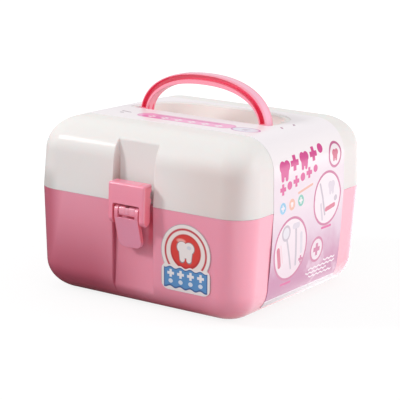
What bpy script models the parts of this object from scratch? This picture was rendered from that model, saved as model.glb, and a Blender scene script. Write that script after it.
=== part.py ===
# Toy dentist kit: a moulded carry case with a hinged lid, a folding bail handle,
# a draw latch, a card sleeve and a sticker, and the play instruments packed inside it.
# Metres, +Z up. The latch faces -Y, the origin is the middle of the base's flat underside.

import math

import bmesh
import bpy
from mathutils import Vector

# Driving sizes of the case
CASE_WIDTH = 0.2200
CASE_DEPTH = 0.2143
CASE_HEIGHT = 0.1546
PARTING_HEIGHT = 0.0922
PLAN_CORNER = 0.0258
TOP_FILLET = 0.0297
BOTTOM_FILLET = 0.0267
CASE_WALL = 0.0026
DRAFT_SLOPE = 0.045
CORNER_SHRINK_SHARE = 0.62

# Clearances shared by neighbours
SEAT_GAP = 0.0003
RUNNING_GAP = 0.0004
OVERRUN = 0.0100

# Facets
CORNER_STEPS = 6
FILLET_STEPS = 6
ROUND_STEPS = 24
PIN_STEPS = 14
SHARP_ANGLE = math.radians(35)

# Directions of the six-sided world
ALONG_X = "X"
ALONG_Y = "Y"
ALONG_Z = "Z"


def clear_objects():
    for obj in list(bpy.data.objects):
        bpy.data.objects.remove(obj, do_unlink=True)


def finish(name, colour, roughness, metallic=0.0):
    """A Principled material in one moulded or metal colour."""
    material = bpy.data.materials.new(name)
    material.use_nodes = True
    shader = material.node_tree.nodes["Principled BSDF"]
    shader.inputs["Base Color"].default_value = (*colour, 1.0)
    shader.inputs["Roughness"].default_value = roughness
    shader.inputs["Metallic"].default_value = metallic
    material.diffuse_color = (*colour, 1.0)
    return material


def loft(rings):
    """A closed skin over a stack of point rings, capped at both ends."""
    mesh = bmesh.new()
    loops = [[mesh.verts.new(point) for point in ring] for ring in rings]
    for lower, upper in zip(loops, loops[1:]):
        for index, corner in enumerate(lower):
            after = (index + 1) % len(lower)
            mesh.faces.new((corner, lower[after], upper[after], upper[index]))
    mesh.faces.new(loops[0])
    mesh.faces.new(loops[-1])
    bmesh.ops.recalc_face_normals(mesh, faces=mesh.faces)
    return mesh


def placed(point, axis, along):
    """Lifts a flat outline point to 3-D: the outline lies square to the axis."""
    if axis == ALONG_X:
        return along, point[0], point[1]
    if axis == ALONG_Y:
        return point[0], along, point[1]
    return point[0], point[1], along


def prism(outline, axis, low, high):
    """An outline pushed along an axis from low to high."""
    return loft([[placed(point, axis, along) for point in outline] for along in (low, high)])


def lathe(profile, axis, centre, steps=ROUND_STEPS):
    """Turns (radius, along) points about an axis through centre; ends at radius 0 are poles."""
    mesh = bmesh.new()
    rows = []
    for radius, along in profile:
        if radius == 0:
            rows.append([mesh.verts.new(placed(centre, axis, along))] * steps)
            continue
        turns = [math.tau * step / steps for step in range(steps)]
        rim = [(centre[0] + radius * math.cos(a), centre[1] + radius * math.sin(a)) for a in turns]
        rows.append([mesh.verts.new(placed(point, axis, along)) for point in rim])
    for first, second in zip(rows, rows[1:]):
        for step in range(steps):
            after = (step + 1) % steps
            corners = []
            for vert in (first[step], first[after], second[after], second[step]):
                if vert not in corners:
                    corners.append(vert)
            mesh.faces.new(corners)
    bmesh.ops.recalc_face_normals(mesh, faces=mesh.faces)
    return mesh


def rod(axis, centre, radius, low, high, steps=PIN_STEPS):
    """A plain round bar."""
    return prism(arc(centre, radius, 0, math.tau, steps)[:-1], axis, low, high)


def arc(centre, radius, start, end, steps):
    """Points on a circle from one angle to another, both ends included."""
    angles = [start + (end - start) * step / steps for step in range(steps + 1)]
    return [(centre[0] + radius * math.cos(a), centre[1] + radius * math.sin(a)) for a in angles]


def rounded_outline(half_width, half_depth, corner, centre=(0, 0), steps=CORNER_STEPS):
    """A rectangle with round corners, counter-clockwise."""
    points = []
    for quarter, (side, end) in enumerate(((1, 1), (-1, 1), (-1, -1), (1, -1))):
        middle = (centre[0] + side * (half_width - corner), centre[1] + end * (half_depth - corner))
        start = math.pi / 2 * quarter
        points += arc(middle, corner, start, start + math.pi / 2, steps)
    return points


def block_outline(low_first, high_first, low_second, high_second):
    """A plain rectangle."""
    return [
        (low_first, low_second),
        (high_first, low_second),
        (high_first, high_second),
        (low_first, high_second),
    ]


def world_origin(obj):
    """Where an unrotated object's origin lies in the world."""
    place = Vector(obj.location)
    while obj.parent:
        obj = obj.parent
        place += obj.location
    return place


def add_piece(name, mesh, material, origin=(0, 0, 0), parent=None):
    """Makes an object of a mesh drawn in world places, with its origin where asked."""
    bmesh.ops.translate(mesh, vec=-Vector(origin), verts=mesh.verts)
    data = bpy.data.meshes.new(name)
    mesh.to_mesh(data)
    mesh.free()
    data.shade_smooth()
    data.set_sharp_from_angle(angle=SHARP_ANGLE)
    if material:
        data.materials.append(material)
    obj = bpy.data.objects.new(name, data)
    bpy.context.scene.collection.objects.link(obj)
    obj.location = Vector(origin)
    if parent:
        obj.parent = parent
        obj.location = Vector(origin) - world_origin(parent)
    return obj


def add_tool(name, mesh):
    """A shape that only cuts or joins others."""
    obj = add_piece(name, mesh, None)
    obj.hide_render = True
    obj.display_type = "WIRE"
    return obj


def shape(target, operation, *tools):
    """Cuts, joins or trims a piece by the tools, in order."""
    for tool in tools:
        modifier = target.modifiers.new(tool.name, "BOOLEAN")
        modifier.operation = operation
        modifier.object = tool
        modifier.solver = "EXACT"


# Case skin: drafted walls, round vertical corners and full round edges top and bottom

def wall_inset(z):
    """How far the draft has drawn the wall in at a height."""
    return abs(z - PARTING_HEIGHT) * DRAFT_SLOPE


def case_ring(inset, z):
    """The case's rounded rectangle, drawn in by inset."""
    corner = PLAN_CORNER - inset * CORNER_SHRINK_SHARE
    outline = rounded_outline(CASE_WIDTH / 2 - inset, CASE_DEPTH / 2 - inset, corner)
    return [(x, y, z) for x, y in outline]


def edge_profile(flat_z, fillet, depth):
    """(inset, z) points of the round edge from the flat at flat_z out to the wall."""
    towards = 1 if flat_z < PARTING_HEIGHT else -1
    centre_z = flat_z + towards * fillet
    centre_inset = wall_inset(centre_z) + fillet
    points = []
    for step in range(FILLET_STEPS + 1):
        turn = math.pi / 2 * step / FILLET_STEPS
        inset = centre_inset - (fillet - depth) * math.sin(turn)
        points.append((inset, centre_z - towards * (fillet - depth) * math.cos(turn)))
    return points


def case_solid(profile):
    return loft([case_ring(inset, z) for inset, z in profile])


# Front channel: a shallow upright recess that the latch stands in
CHANNEL_HALF_WIDTH = 0.0203
LID_CHANNEL_DEPTH = 0.0089
BASE_CHANNEL_DEPTH = 0.0052
FRONT = -CASE_DEPTH / 2
LID_CHANNEL_FLOOR = FRONT + LID_CHANNEL_DEPTH
BASE_CHANNEL_FLOOR = FRONT + BASE_CHANNEL_DEPTH

# Rim: a standing lip on the base inside a rebate in the lid
LIP_INSET = 0.00135
LIP_RISE = 0.0030
BASE_RIM = PARTING_HEIGHT - SEAT_GAP / 2
LID_RIM = PARTING_HEIGHT + SEAT_GAP / 2
LIP_TOP = BASE_RIM + LIP_RISE
REBATE_INSET = LIP_INSET - SEAT_GAP
REBATE_TOP = LIP_TOP + SEAT_GAP

# Rear hinges: two sets of knuckles just behind the back wall, each on its own pin
HINGE_IN_FROM_END = 0.0500
HINGE_MIDDLE = CASE_WIDTH / 2 - HINGE_IN_FROM_END
KNUCKLE_RADIUS = 0.0040
LID_KNUCKLE_HALF = 0.0096
BASE_KNUCKLE_LENGTH = 0.0080
HINGE_PIN_RADIUS = 0.0014
HINGE_Y = CASE_DEPTH / 2 + KNUCKLE_RADIUS + RUNNING_GAP
HINGE_Z = PARTING_HEIGHT
WEB_RISE = 0.0100
WEB_TOE = 0.0018
HINGE_SPAN = LID_KNUCKLE_HALF + RUNNING_GAP + BASE_KNUCKLE_LENGTH
HINGE_SIDES = {"left": -1, "right": 1}

# Latch: the lever turns on a pin in the base's knuckle, the link hangs on the lever.
# Depths are measured from the case's front, heights from the parting line.
LATCH_HALF_WIDTH = 0.0190
LATCH_STAND_OUT = 0.01135
LATCH_REAR_OUT = 0.00115
LATCH_RISE = 0.0186
LEVER_PIVOT_OUT = 0.00565
LEVER_PIVOT_DROP = 0.0054
LATCH_FRONT = FRONT - LATCH_STAND_OUT
LATCH_REAR = FRONT - LATCH_REAR_OUT
LATCH_TOP = PARTING_HEIGHT + LATCH_RISE
LEVER_PIVOT_Y = FRONT - LEVER_PIVOT_OUT
LEVER_PIVOT_Z = PARTING_HEIGHT - LEVER_PIVOT_DROP
LEVER_HALF_WIDTH = 0.0124
LEVER_EAR_RADIUS = 0.0052
LEVER_EAR_THICKNESS = 0.0035
LEVER_PIN_RADIUS = 0.0014
LATCH_KNUCKLE_RADIUS = 0.0044
LINK_PIVOT_BACK = 0.0008
LINK_PIVOT_BELOW = 0.0062
LINK_PIVOT_Y = LEVER_PIVOT_Y + LINK_PIVOT_BACK
LINK_PIVOT_Z = LEVER_PIVOT_Z - LINK_PIVOT_BELOW
LINK_STUB_RADIUS = 0.0012
LINK_STUB_LENGTH = 0.0030


def hinge_web(up, wall_y):
    """Knuckle outline in (y, z), with a web that runs to the back wall above or below."""
    centre = (HINGE_Y, HINGE_Z)
    start = math.pi if up > 0 else 0
    round_part = arc(centre, KNUCKLE_RADIUS, start, start + math.pi, PIN_STEPS // 2)
    near = HINGE_Z + up * (SEAT_GAP / 2)
    toe = [(wall_y, HINGE_Z + up * (WEB_RISE + WEB_TOE)), (wall_y, near)]
    back = (HINGE_Y + KNUCKLE_RADIUS, HINGE_Z + up * WEB_TOE)
    foot = (CASE_DEPTH / 2, HINGE_Z + up * WEB_RISE)
    front = (HINGE_Y - KNUCKLE_RADIUS, near)
    if up > 0:
        return [front] + round_part[1:] + [back, foot] + toe
    return round_part[:-1] + [front] + toe[::-1] + [foot, back]


def pin_hole(name, axis, centre, pin_radius, low, high):
    return add_tool(name, rod(axis, centre, pin_radius + SEAT_GAP, low, high))


def build_base(pink):
    """Lower half of the case: tub, rim lip, channel, hinge knuckles and latch knuckle."""
    outer = edge_profile(0, BOTTOM_FILLET, 0)
    outer += [(0, BASE_RIM), (LIP_INSET, BASE_RIM), (LIP_INSET, LIP_TOP)]
    base = add_piece("base_tub", case_solid(outer), pink)

    inner = edge_profile(0, BOTTOM_FILLET, CASE_WALL)
    inner += [(CASE_WALL, PARTING_HEIGHT), (CASE_WALL, LIP_TOP + OVERRUN)]
    cavity = add_tool("tub_cavity", case_solid(inner))
    backing_half = CHANNEL_HALF_WIDTH + CASE_WALL
    backing = block_outline(
        -backing_half, backing_half, FRONT - OVERRUN, LID_CHANNEL_FLOOR + CASE_WALL
    )
    backing_tool = add_tool("base_channel_backing", prism(backing, ALONG_Z, -OVERRUN, CASE_HEIGHT))
    shape(cavity, "DIFFERENCE", backing_tool)

    groove = block_outline(
        -CHANNEL_HALF_WIDTH, CHANNEL_HALF_WIDTH, FRONT - OVERRUN, BASE_CHANNEL_FLOOR
    )
    channel = add_tool("base_channel", prism(groove, ALONG_Z, -OVERRUN, CASE_HEIGHT))
    lip_relief = block_outline(
        -backing_half - CASE_WALL, backing_half + CASE_WALL, FRONT - OVERRUN,
        LID_CHANNEL_FLOOR + CASE_WALL + CASE_WALL
    )
    lip_tool = add_tool("lip_relief", prism(lip_relief, ALONG_Z, BASE_RIM, LIP_TOP + OVERRUN))
    shape(base, "DIFFERENCE", cavity, channel, lip_tool)

    for side_name, side in HINGE_SIDES.items():
        middle = side * HINGE_MIDDLE
        for end_name, end in (("inner", -1), ("outer", 1)):
            low = middle + end * (HINGE_SPAN - BASE_KNUCKLE_LENGTH / 2) - BASE_KNUCKLE_LENGTH / 2
            outline = hinge_web(-1, CASE_DEPTH / 2 - CASE_WALL / 2 - wall_inset(0) / 2)
            knuckle = prism(outline, ALONG_X, low, low + BASE_KNUCKLE_LENGTH)
            shape(base, "UNION", add_tool(f"base_knuckle_{side_name}_{end_name}", knuckle))
        hole_half = HINGE_SPAN + OVERRUN
        hole = pin_hole(
            f"base_hinge_hole_{side_name}", ALONG_X, (HINGE_Y, HINGE_Z), HINGE_PIN_RADIUS,
            middle - hole_half, middle + hole_half
        )
        shape(base, "DIFFERENCE", hole)
    build_latch_knuckle(base)
    return base


# Latch knuckle on the base: a round bar on a neck that grows out of the channel floor
KNUCKLE_HALF_LENGTH = LEVER_HALF_WIDTH - LEVER_EAR_THICKNESS - RUNNING_GAP
NECK_HALF_HEIGHT = 0.0030
KNUCKLE_NOTCH_HALF = 0.0016
KNUCKLE_NOTCH_DEPTH = 0.0012


def build_latch_knuckle(base):
    centre = (LEVER_PIVOT_Y, LEVER_PIVOT_Z)
    lean = math.asin(NECK_HALF_HEIGHT / LATCH_KNUCKLE_RADIUS)
    nose = arc(centre, LATCH_KNUCKLE_RADIUS, lean, math.tau - lean, ROUND_STEPS)
    root = BASE_CHANNEL_FLOOR + CASE_WALL
    outline = nose + [
        (root, LEVER_PIVOT_Z - NECK_HALF_HEIGHT),
        (root, LEVER_PIVOT_Z + NECK_HALF_HEIGHT),
    ]
    bar = prism(outline, ALONG_X, -KNUCKLE_HALF_LENGTH, KNUCKLE_HALF_LENGTH)
    notch_top = LEVER_PIVOT_Z + LATCH_KNUCKLE_RADIUS
    notch = block_outline(
        LEVER_PIVOT_Y - LATCH_KNUCKLE_RADIUS, LEVER_PIVOT_Y,
        notch_top - KNUCKLE_NOTCH_DEPTH, notch_top + OVERRUN
    )
    notch_tool = prism(notch, ALONG_X, -KNUCKLE_NOTCH_HALF, KNUCKLE_NOTCH_HALF)
    shape(base, "UNION", add_tool("latch_knuckle", bar))
    shape(base, "DIFFERENCE", add_tool("knuckle_notch", notch_tool))
    hole = pin_hole(
        "knuckle_hole", ALONG_X, centre, LEVER_PIN_RADIUS, -LATCH_HALF_WIDTH, LATCH_HALF_WIDTH
    )
    shape(base, "DIFFERENCE", hole)


# Handle well: a D-shaped recess in the lid's top that the folded bail drops into
WELL_HALF_WIDTH = 0.0710
WELL_BACK = 0.0490
WELL_FRONT = -0.0095
WELL_DEPTH = 0.0160
WELL_CORNER = 0.0040
WELL_ROUNDNESS = 2.8
WELL_STEPS = 20
WELL_FLOOR = CASE_HEIGHT - WELL_DEPTH

# Bail handle: half a full-shouldered ellipse whose inner flange swells at the grip, standing on
# two trunnions in the well's side walls
HANDLE_HALF_SPAN = 0.0670
HANDLE_RISE = 0.0447
HANDLE_ROUNDNESS = 2.25
HANDLE_RADIAL = 0.0070
HANDLE_THICKNESS = 0.0125
HANDLE_PIVOT_DROP = 0.0075
HANDLE_PIVOT_Y = 0.0
HANDLE_PIVOT_Z = CASE_HEIGHT - HANDLE_PIVOT_DROP
HANDLE_CHAMFER = 0.0009
HANDLE_OUTER_RIM = 0.0012
HANDLE_INNER_RIM = 0.0015
GRIP_SWELL = 0.0024
HANDLE_POCKET_DEPTH = 0.0040
HANDLE_STEPS = 26
POCKET_START = math.radians(11)
TRUNNION_RADIUS = 0.0022
COLLAR_RADIUS = 0.0042

# Catch: the rib on the lid that the latch link hooks over
CATCH_HALF_WIDTH = 0.0110
CATCH_ABOVE_PARTING = 0.0078
CATCH_HEIGHT = 0.0046
CATCH_LOW = PARTING_HEIGHT + CATCH_ABOVE_PARTING
CATCH_HIGH = CATCH_LOW + CATCH_HEIGHT
CATCH_CHAMFER = 0.0012


def full_curve(turn, roundness):
    """(across, up) shares on a superellipse: 2 is a circle, more is squarer."""
    power = 2 / roundness
    across = math.copysign(abs(math.cos(turn)) ** power, math.cos(turn))
    return across, max(math.sin(turn), 0) ** power


def d_outline(half_width, back, front, corner):
    """A D in plan: square front edge with round corners, superellipse back."""
    points = []
    for step in range(WELL_STEPS + 1):
        across, up = full_curve(math.pi * step / WELL_STEPS, WELL_ROUNDNESS)
        points.append((half_width * across, back * up))
    points += arc((-half_width + corner, front + corner), corner, math.pi, 1.5 * math.pi, 3)
    points += arc((half_width - corner, front + corner), corner, 1.5 * math.pi, math.tau, 3)
    return points


def build_lid(ivory):
    """Upper half of the case: shell, channel, catch, handle well and hinge knuckles."""
    outer = [(0, LID_RIM)] + edge_profile(CASE_HEIGHT, TOP_FILLET, 0)[::-1]
    origin = (0, HINGE_Y, HINGE_Z)
    lid = add_piece("lid", case_solid(outer), ivory, origin)

    inner = [(REBATE_INSET, LID_RIM - OVERRUN), (REBATE_INSET, REBATE_TOP), (CASE_WALL, REBATE_TOP)]
    inner += edge_profile(CASE_HEIGHT, TOP_FILLET, CASE_WALL)[::-1]
    cavity = add_tool("lid_cavity", case_solid(inner))
    backing_half = CHANNEL_HALF_WIDTH + CASE_WALL
    backing = block_outline(
        -backing_half, backing_half, FRONT - OVERRUN, LID_CHANNEL_FLOOR + CASE_WALL
    )
    above = CASE_HEIGHT + OVERRUN
    backing_tool = add_tool("lid_channel_backing", prism(backing, ALONG_Z, 0, above))
    well_wall = d_outline(
        WELL_HALF_WIDTH + CASE_WALL, WELL_BACK + CASE_WALL, WELL_FRONT - CASE_WALL,
        WELL_CORNER + CASE_WALL
    )
    well_body = add_tool("well_body", prism(well_wall, ALONG_Z, WELL_FLOOR - CASE_WALL, above))
    shape(cavity, "DIFFERENCE", backing_tool, well_body)

    groove = block_outline(
        -CHANNEL_HALF_WIDTH, CHANNEL_HALF_WIDTH, FRONT - OVERRUN, LID_CHANNEL_FLOOR
    )
    channel = add_tool("lid_channel", prism(groove, ALONG_Z, 0, above))
    well_outline = d_outline(WELL_HALF_WIDTH, WELL_BACK, WELL_FRONT, WELL_CORNER)
    well = add_tool("handle_well", prism(well_outline, ALONG_Z, WELL_FLOOR, above))
    shape(lid, "DIFFERENCE", cavity, channel, well)
    reach = WELL_HALF_WIDTH + CASE_WALL + SEAT_GAP
    pivot = (HANDLE_PIVOT_Y, HANDLE_PIVOT_Z)
    shape(lid, "DIFFERENCE", pin_hole("trunnion_holes", ALONG_X, pivot, TRUNNION_RADIUS, -reach, reach))

    build_catch(lid)
    for side_name, side in HINGE_SIDES.items():
        middle = side * HINGE_MIDDLE
        outline = hinge_web(1, CASE_DEPTH / 2 - CASE_WALL / 2)
        knuckle = prism(outline, ALONG_X, middle - LID_KNUCKLE_HALF, middle + LID_KNUCKLE_HALF)
        shape(lid, "UNION", add_tool(f"lid_knuckle_{side_name}", knuckle))
        hole = pin_hole(
            f"lid_hinge_hole_{side_name}", ALONG_X, (HINGE_Y, HINGE_Z), HINGE_PIN_RADIUS,
            middle - HINGE_SPAN, middle + HINGE_SPAN
        )
        shape(lid, "DIFFERENCE", hole)
    return lid


def build_catch(lid):
    front = LATCH_REAR + RUNNING_GAP
    root = LID_CHANNEL_FLOOR + CASE_WALL / 2
    outline = [
        (root, CATCH_LOW - CATCH_CHAMFER),
        (front + CATCH_CHAMFER, CATCH_LOW),
        (front, CATCH_LOW + CATCH_CHAMFER),
        (front, CATCH_HIGH - CATCH_CHAMFER),
        (front + CATCH_CHAMFER, CATCH_HIGH),
        (root, CATCH_HIGH + CATCH_CHAMFER),
    ]
    rib = prism(outline, ALONG_X, -CATCH_HALF_WIDTH, CATCH_HALF_WIDTH)
    shape(lid, "UNION", add_tool("latch_catch", rib))


def build_hinge_pins(base, steel):
    for side_name, side in HINGE_SIDES.items():
        middle = side * HINGE_MIDDLE
        pin = rod(
            ALONG_X, (HINGE_Y, HINGE_Z), HINGE_PIN_RADIUS, middle - HINGE_SPAN, middle + HINGE_SPAN
        )
        add_piece(f"hinge_pin_{side_name}", pin, steel, (middle, HINGE_Y, HINGE_Z), base)


# Handle

def handle_point(turn, radial, y):
    """A point of the bail: turn round the ellipse, radial from the inner edge of its feet."""
    swell = GRIP_SWELL * math.sin(turn) ** 2 if radial < HANDLE_INNER_RIM else 0
    half_span = HANDLE_HALF_SPAN - HANDLE_RADIAL + radial - swell
    rise = HANDLE_RISE - HANDLE_RADIAL + radial - swell
    across, up = full_curve(turn, HANDLE_ROUNDNESS)
    return half_span * across, y, HANDLE_PIVOT_Z + rise * up


def handle_sweep(section, start, end):
    """Carries a (radial, y) section round the ellipse."""
    rings = []
    for step in range(HANDLE_STEPS + 1):
        turn = start + (end - start) * step / HANDLE_STEPS
        rings.append([handle_point(turn, radial, y) for radial, y in section])
    return loft(rings)


def build_handle(lid, pink):
    """One moulding: channelled bail, round feet, collars and trunnions."""
    half = HANDLE_THICKNESS / 2
    section = [
        (HANDLE_CHAMFER, -half),
        (HANDLE_RADIAL - HANDLE_CHAMFER, -half),
        (HANDLE_RADIAL, HANDLE_CHAMFER - half),
        (HANDLE_RADIAL, half - HANDLE_CHAMFER),
        (HANDLE_RADIAL - HANDLE_CHAMFER, half),
        (HANDLE_CHAMFER, half),
        (0, half - HANDLE_CHAMFER),
        (0, HANDLE_CHAMFER - half),
    ]
    origin = (0, HANDLE_PIVOT_Y, HANDLE_PIVOT_Z)
    handle = add_piece("carry_handle", handle_sweep(section, 0, math.pi), pink, origin, lid)
    for face_name, face in (("front", -1), ("rear", 1)):
        outside = face * (half + OVERRUN)
        floor = face * (half - HANDLE_POCKET_DEPTH)
        pocket = block_outline(HANDLE_INNER_RIM, HANDLE_RADIAL - HANDLE_OUTER_RIM, outside, floor)
        tool = add_tool(f"{face_name}_groove", handle_sweep(pocket, POCKET_START, math.pi - POCKET_START))
        shape(handle, "DIFFERENCE", tool)
    pivot = (HANDLE_PIVOT_Y, HANDLE_PIVOT_Z)
    inner = HANDLE_HALF_SPAN - HANDLE_RADIAL
    for side_name, side in HINGE_SIDES.items():
        foot = side_rod(side, pivot, half, inner, HANDLE_HALF_SPAN, ROUND_STEPS)
        collar = side_rod(
            side, pivot, COLLAR_RADIUS, inner + HANDLE_CHAMFER, WELL_HALF_WIDTH - RUNNING_GAP, ROUND_STEPS
        )
        trunnion = side_rod(
            side, pivot, TRUNNION_RADIUS, inner + HANDLE_INNER_RIM, WELL_HALF_WIDTH + CASE_WALL, PIN_STEPS
        )
        shape(handle, "UNION", add_tool(f"handle_foot_{side_name}", foot))
        shape(handle, "UNION", add_tool(f"handle_collar_{side_name}", collar))
        shape(handle, "UNION", add_tool(f"handle_trunnion_{side_name}", trunnion))
    return handle


def side_rod(side, centre, radius, near, far, steps):
    """A round bar along X, between two distances from the middle on one side."""
    low, high = sorted((side * near, side * far))
    return rod(ALONG_X, centre, radius, low, high, steps)


# Latch link: the square clip that reaches up over the lid's catch
LINK_CUT_HALF = LEVER_HALF_WIDTH + RUNNING_GAP
LINK_CUT_ABOVE_PARTING = 0.0008
LINK_CUT_TOP = PARTING_HEIGHT + LINK_CUT_ABOVE_PARTING
LINK_WALL = 0.0022
LINK_EDGE = 0.0016
LINK_SLOT_HALF = 0.0014
LINK_SLOT_DEPTH = 0.0012
LINK_HALF_DEPTH = (LATCH_REAR - LATCH_FRONT) / 2
LINK_MIDDLE_Y = (LATCH_REAR + LATCH_FRONT) / 2


def build_link(lever, pink):
    """Moulded clip: hollow cross-piece above, two legs that straddle the lever below."""
    end = (LINK_MIDDLE_Y, LINK_PIVOT_Z)
    outline = arc(end, LINK_HALF_DEPTH, math.pi, math.tau, PIN_STEPS)
    outline += [(LATCH_REAR, LATCH_TOP - LINK_SLOT_DEPTH), (LATCH_REAR - LINK_SLOT_DEPTH, LATCH_TOP)]
    corner = (LATCH_FRONT + LINK_EDGE, LATCH_TOP - LINK_EDGE)
    outline += arc(corner, LINK_EDGE, math.pi / 2, math.pi, 3)
    origin = (0, LINK_PIVOT_Y, LINK_PIVOT_Z)
    body = prism(outline, ALONG_X, -LATCH_HALF_WIDTH, LATCH_HALF_WIDTH)
    link = add_piece("latch_link", body, pink, origin, lever)

    corner_mask = rounded_outline(
        LATCH_HALF_WIDTH, LATCH_TOP - PARTING_HEIGHT + OVERRUN + OVERRUN, LINK_EDGE,
        (0, PARTING_HEIGHT), 3
    )
    front, rear = LATCH_FRONT - OVERRUN, LATCH_REAR + OVERRUN
    shape(link, "INTERSECT", add_tool("link_outline", prism(corner_mask, ALONG_Y, front, rear)))
    cut = block_outline(-LINK_CUT_HALF, LINK_CUT_HALF, 0, LINK_CUT_TOP)
    shape(link, "DIFFERENCE", add_tool("link_cut_out", prism(cut, ALONG_Y, front, rear)))
    hollow_half = LATCH_HALF_WIDTH - LINK_WALL
    hollow = block_outline(-hollow_half, hollow_half, LINK_CUT_TOP + LINK_WALL, LATCH_TOP - LINK_WALL)
    hollow_tool = prism(hollow, ALONG_Y, LATCH_FRONT + LINK_WALL, rear)
    shape(link, "DIFFERENCE", add_tool("link_hollow", hollow_tool))
    slot_z = (CATCH_LOW + CATCH_HIGH) / 2
    slot = block_outline(
        LATCH_REAR - LINK_SLOT_DEPTH, rear, slot_z - LINK_SLOT_HALF, slot_z + LINK_SLOT_HALF
    )
    slot_reach = LATCH_HALF_WIDTH + OVERRUN
    shape(link, "DIFFERENCE", add_tool("link_slots", prism(slot, ALONG_X, -slot_reach, slot_reach)))
    for side_name, side in HINGE_SIDES.items():
        depth = LINK_CUT_HALF + LINK_STUB_LENGTH
        hole = side_rod(
            side, (LINK_PIVOT_Y, LINK_PIVOT_Z), LINK_STUB_RADIUS + SEAT_GAP, 0, depth, PIN_STEPS
        )
        shape(link, "DIFFERENCE", add_tool(f"link_hole_{side_name}", hole))
    return link


# Latch lever: ears on the base's pin, a window over the knuckle, a leaning thumb plate
LEVER_REACH = 0.0320
LEVER_BOTTOM = LEVER_PIVOT_Z - LEVER_REACH
LEVER_SHOULDER_DROP = 0.0050
LEVER_WINDOW_DROP = 0.0053
LEVER_LEAN_SLOPE = 0.293
LEVER_SIDE_DEPTH = 0.0040
LEVER_PLATE = 0.0022
LEVER_TAPER = 0.0005
LEVER_TIP_CORNER = 0.0060
LEVER_REAR_EASE = 0.0075


def build_lever(base, pink):
    """One moulding with two ears, a front plate, side walls and two stubs for the link."""
    pivot = (LEVER_PIVOT_Y, LEVER_PIVOT_Z)
    shoulder_z = LEVER_PIVOT_Z - LEVER_SHOULDER_DROP
    front_y = LEVER_PIVOT_Y - LEVER_EAR_RADIUS
    tip_front = front_y + (shoulder_z - LEVER_BOTTOM) * LEVER_LEAN_SLOPE
    ease_z = shoulder_z - LEVER_REAR_EASE
    ease_y = front_y + (shoulder_z - ease_z) * LEVER_LEAN_SLOPE + LEVER_SIDE_DEPTH
    ear = arc(pivot, LEVER_EAR_RADIUS, math.pi, -math.pi / 3, ROUND_STEPS // 2)
    side = ear + [
        (ease_y, ease_z),
        (tip_front + LEVER_SIDE_DEPTH, LEVER_BOTTOM),
        (tip_front, LEVER_BOTTOM),
        (front_y, shoulder_z),
    ]
    origin = (0, *pivot)
    body = prism(side, ALONG_X, -LEVER_HALF_WIDTH, LEVER_HALF_WIDTH)
    lever = add_piece("latch_lever", body, pink, origin, base)

    top = LEVER_PIVOT_Z + LEVER_EAR_RADIUS + OVERRUN
    tip_half = LEVER_HALF_WIDTH - LEVER_TAPER
    left_corner = (-tip_half + LEVER_TIP_CORNER, LEVER_BOTTOM + LEVER_TIP_CORNER)
    right_corner = (tip_half - LEVER_TIP_CORNER, LEVER_BOTTOM + LEVER_TIP_CORNER)
    face = arc(left_corner, LEVER_TIP_CORNER, math.pi, 1.5 * math.pi, 4)
    face += arc(right_corner, LEVER_TIP_CORNER, 1.5 * math.pi, math.tau, 4)
    face += [(LEVER_HALF_WIDTH + SEAT_GAP, shoulder_z), (LEVER_HALF_WIDTH + SEAT_GAP, top)]
    face += [(-LEVER_HALF_WIDTH - SEAT_GAP, top), (-LEVER_HALF_WIDTH - SEAT_GAP, shoulder_z)]
    front, rear = LATCH_FRONT - OVERRUN, LATCH_REAR + OVERRUN
    shape(lever, "INTERSECT", add_tool("lever_outline", prism(face, ALONG_Y, front, rear)))
    window_half = LEVER_HALF_WIDTH - LEVER_EAR_THICKNESS
    window_low = LEVER_PIVOT_Z - LEVER_WINDOW_DROP
    window = block_outline(-window_half, window_half, window_low, top)
    shape(lever, "DIFFERENCE", add_tool("lever_window", prism(window, ALONG_Y, front, rear)))
    floor_y = front_y + LEVER_PLATE
    back_low = LEVER_BOTTOM + LEVER_PLATE
    hollow = [
        (floor_y, window_low + OVERRUN),
        (floor_y, shoulder_z),
        (tip_front + LEVER_PLATE - LEVER_PLATE * LEVER_LEAN_SLOPE, back_low),
        (rear, back_low),
        (rear, window_low + OVERRUN),
    ]
    hollow_half = window_half
    shape(lever, "DIFFERENCE", add_tool("lever_hollow", prism(hollow, ALONG_X, -hollow_half, hollow_half)))
    shape(lever, "DIFFERENCE", pin_hole(
        "lever_pin_holes", ALONG_X, pivot, LEVER_PIN_RADIUS, -LATCH_HALF_WIDTH, LATCH_HALF_WIDTH
    ))
    for side_name, side_sign in HINGE_SIDES.items():
        stub = side_rod(
            side_sign, (LINK_PIVOT_Y, LINK_PIVOT_Z), LINK_STUB_RADIUS,
            LEVER_HALF_WIDTH - LEVER_EAR_THICKNESS / 2, LINK_CUT_HALF + LINK_STUB_LENGTH - SEAT_GAP,
            PIN_STEPS
        )
        shape(lever, "UNION", add_tool(f"link_stub_{side_name}", stub))
    return lever


def build_lever_pin(base, steel):
    half = LEVER_HALF_WIDTH - SEAT_GAP
    pin = rod(ALONG_X, (LEVER_PIVOT_Y, LEVER_PIVOT_Z), LEVER_PIN_RADIUS, -half, half)
    add_piece("lever_pin", pin, steel, (0, LEVER_PIVOT_Y, LEVER_PIVOT_Z), base)


# Card sleeve: printed band over the lid with a D cut round the handle, and a flap down each end.
# Band and flap meet at the parting line, where the card leaves the lid and hangs beside the base.
SLEEVE_FRONT = -0.0610
SLEEVE_BACK = 0.0605
SLEEVE_BOTTOM = 0.0130
SLEEVE_THICKNESS = 0.0005
SLEEVE_CLEARANCE = 0.0004
SLEEVE_CUT_MARGIN = 0.0050
SLEEVE_CUT_FRONT_MARGIN = 0.0015


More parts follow.
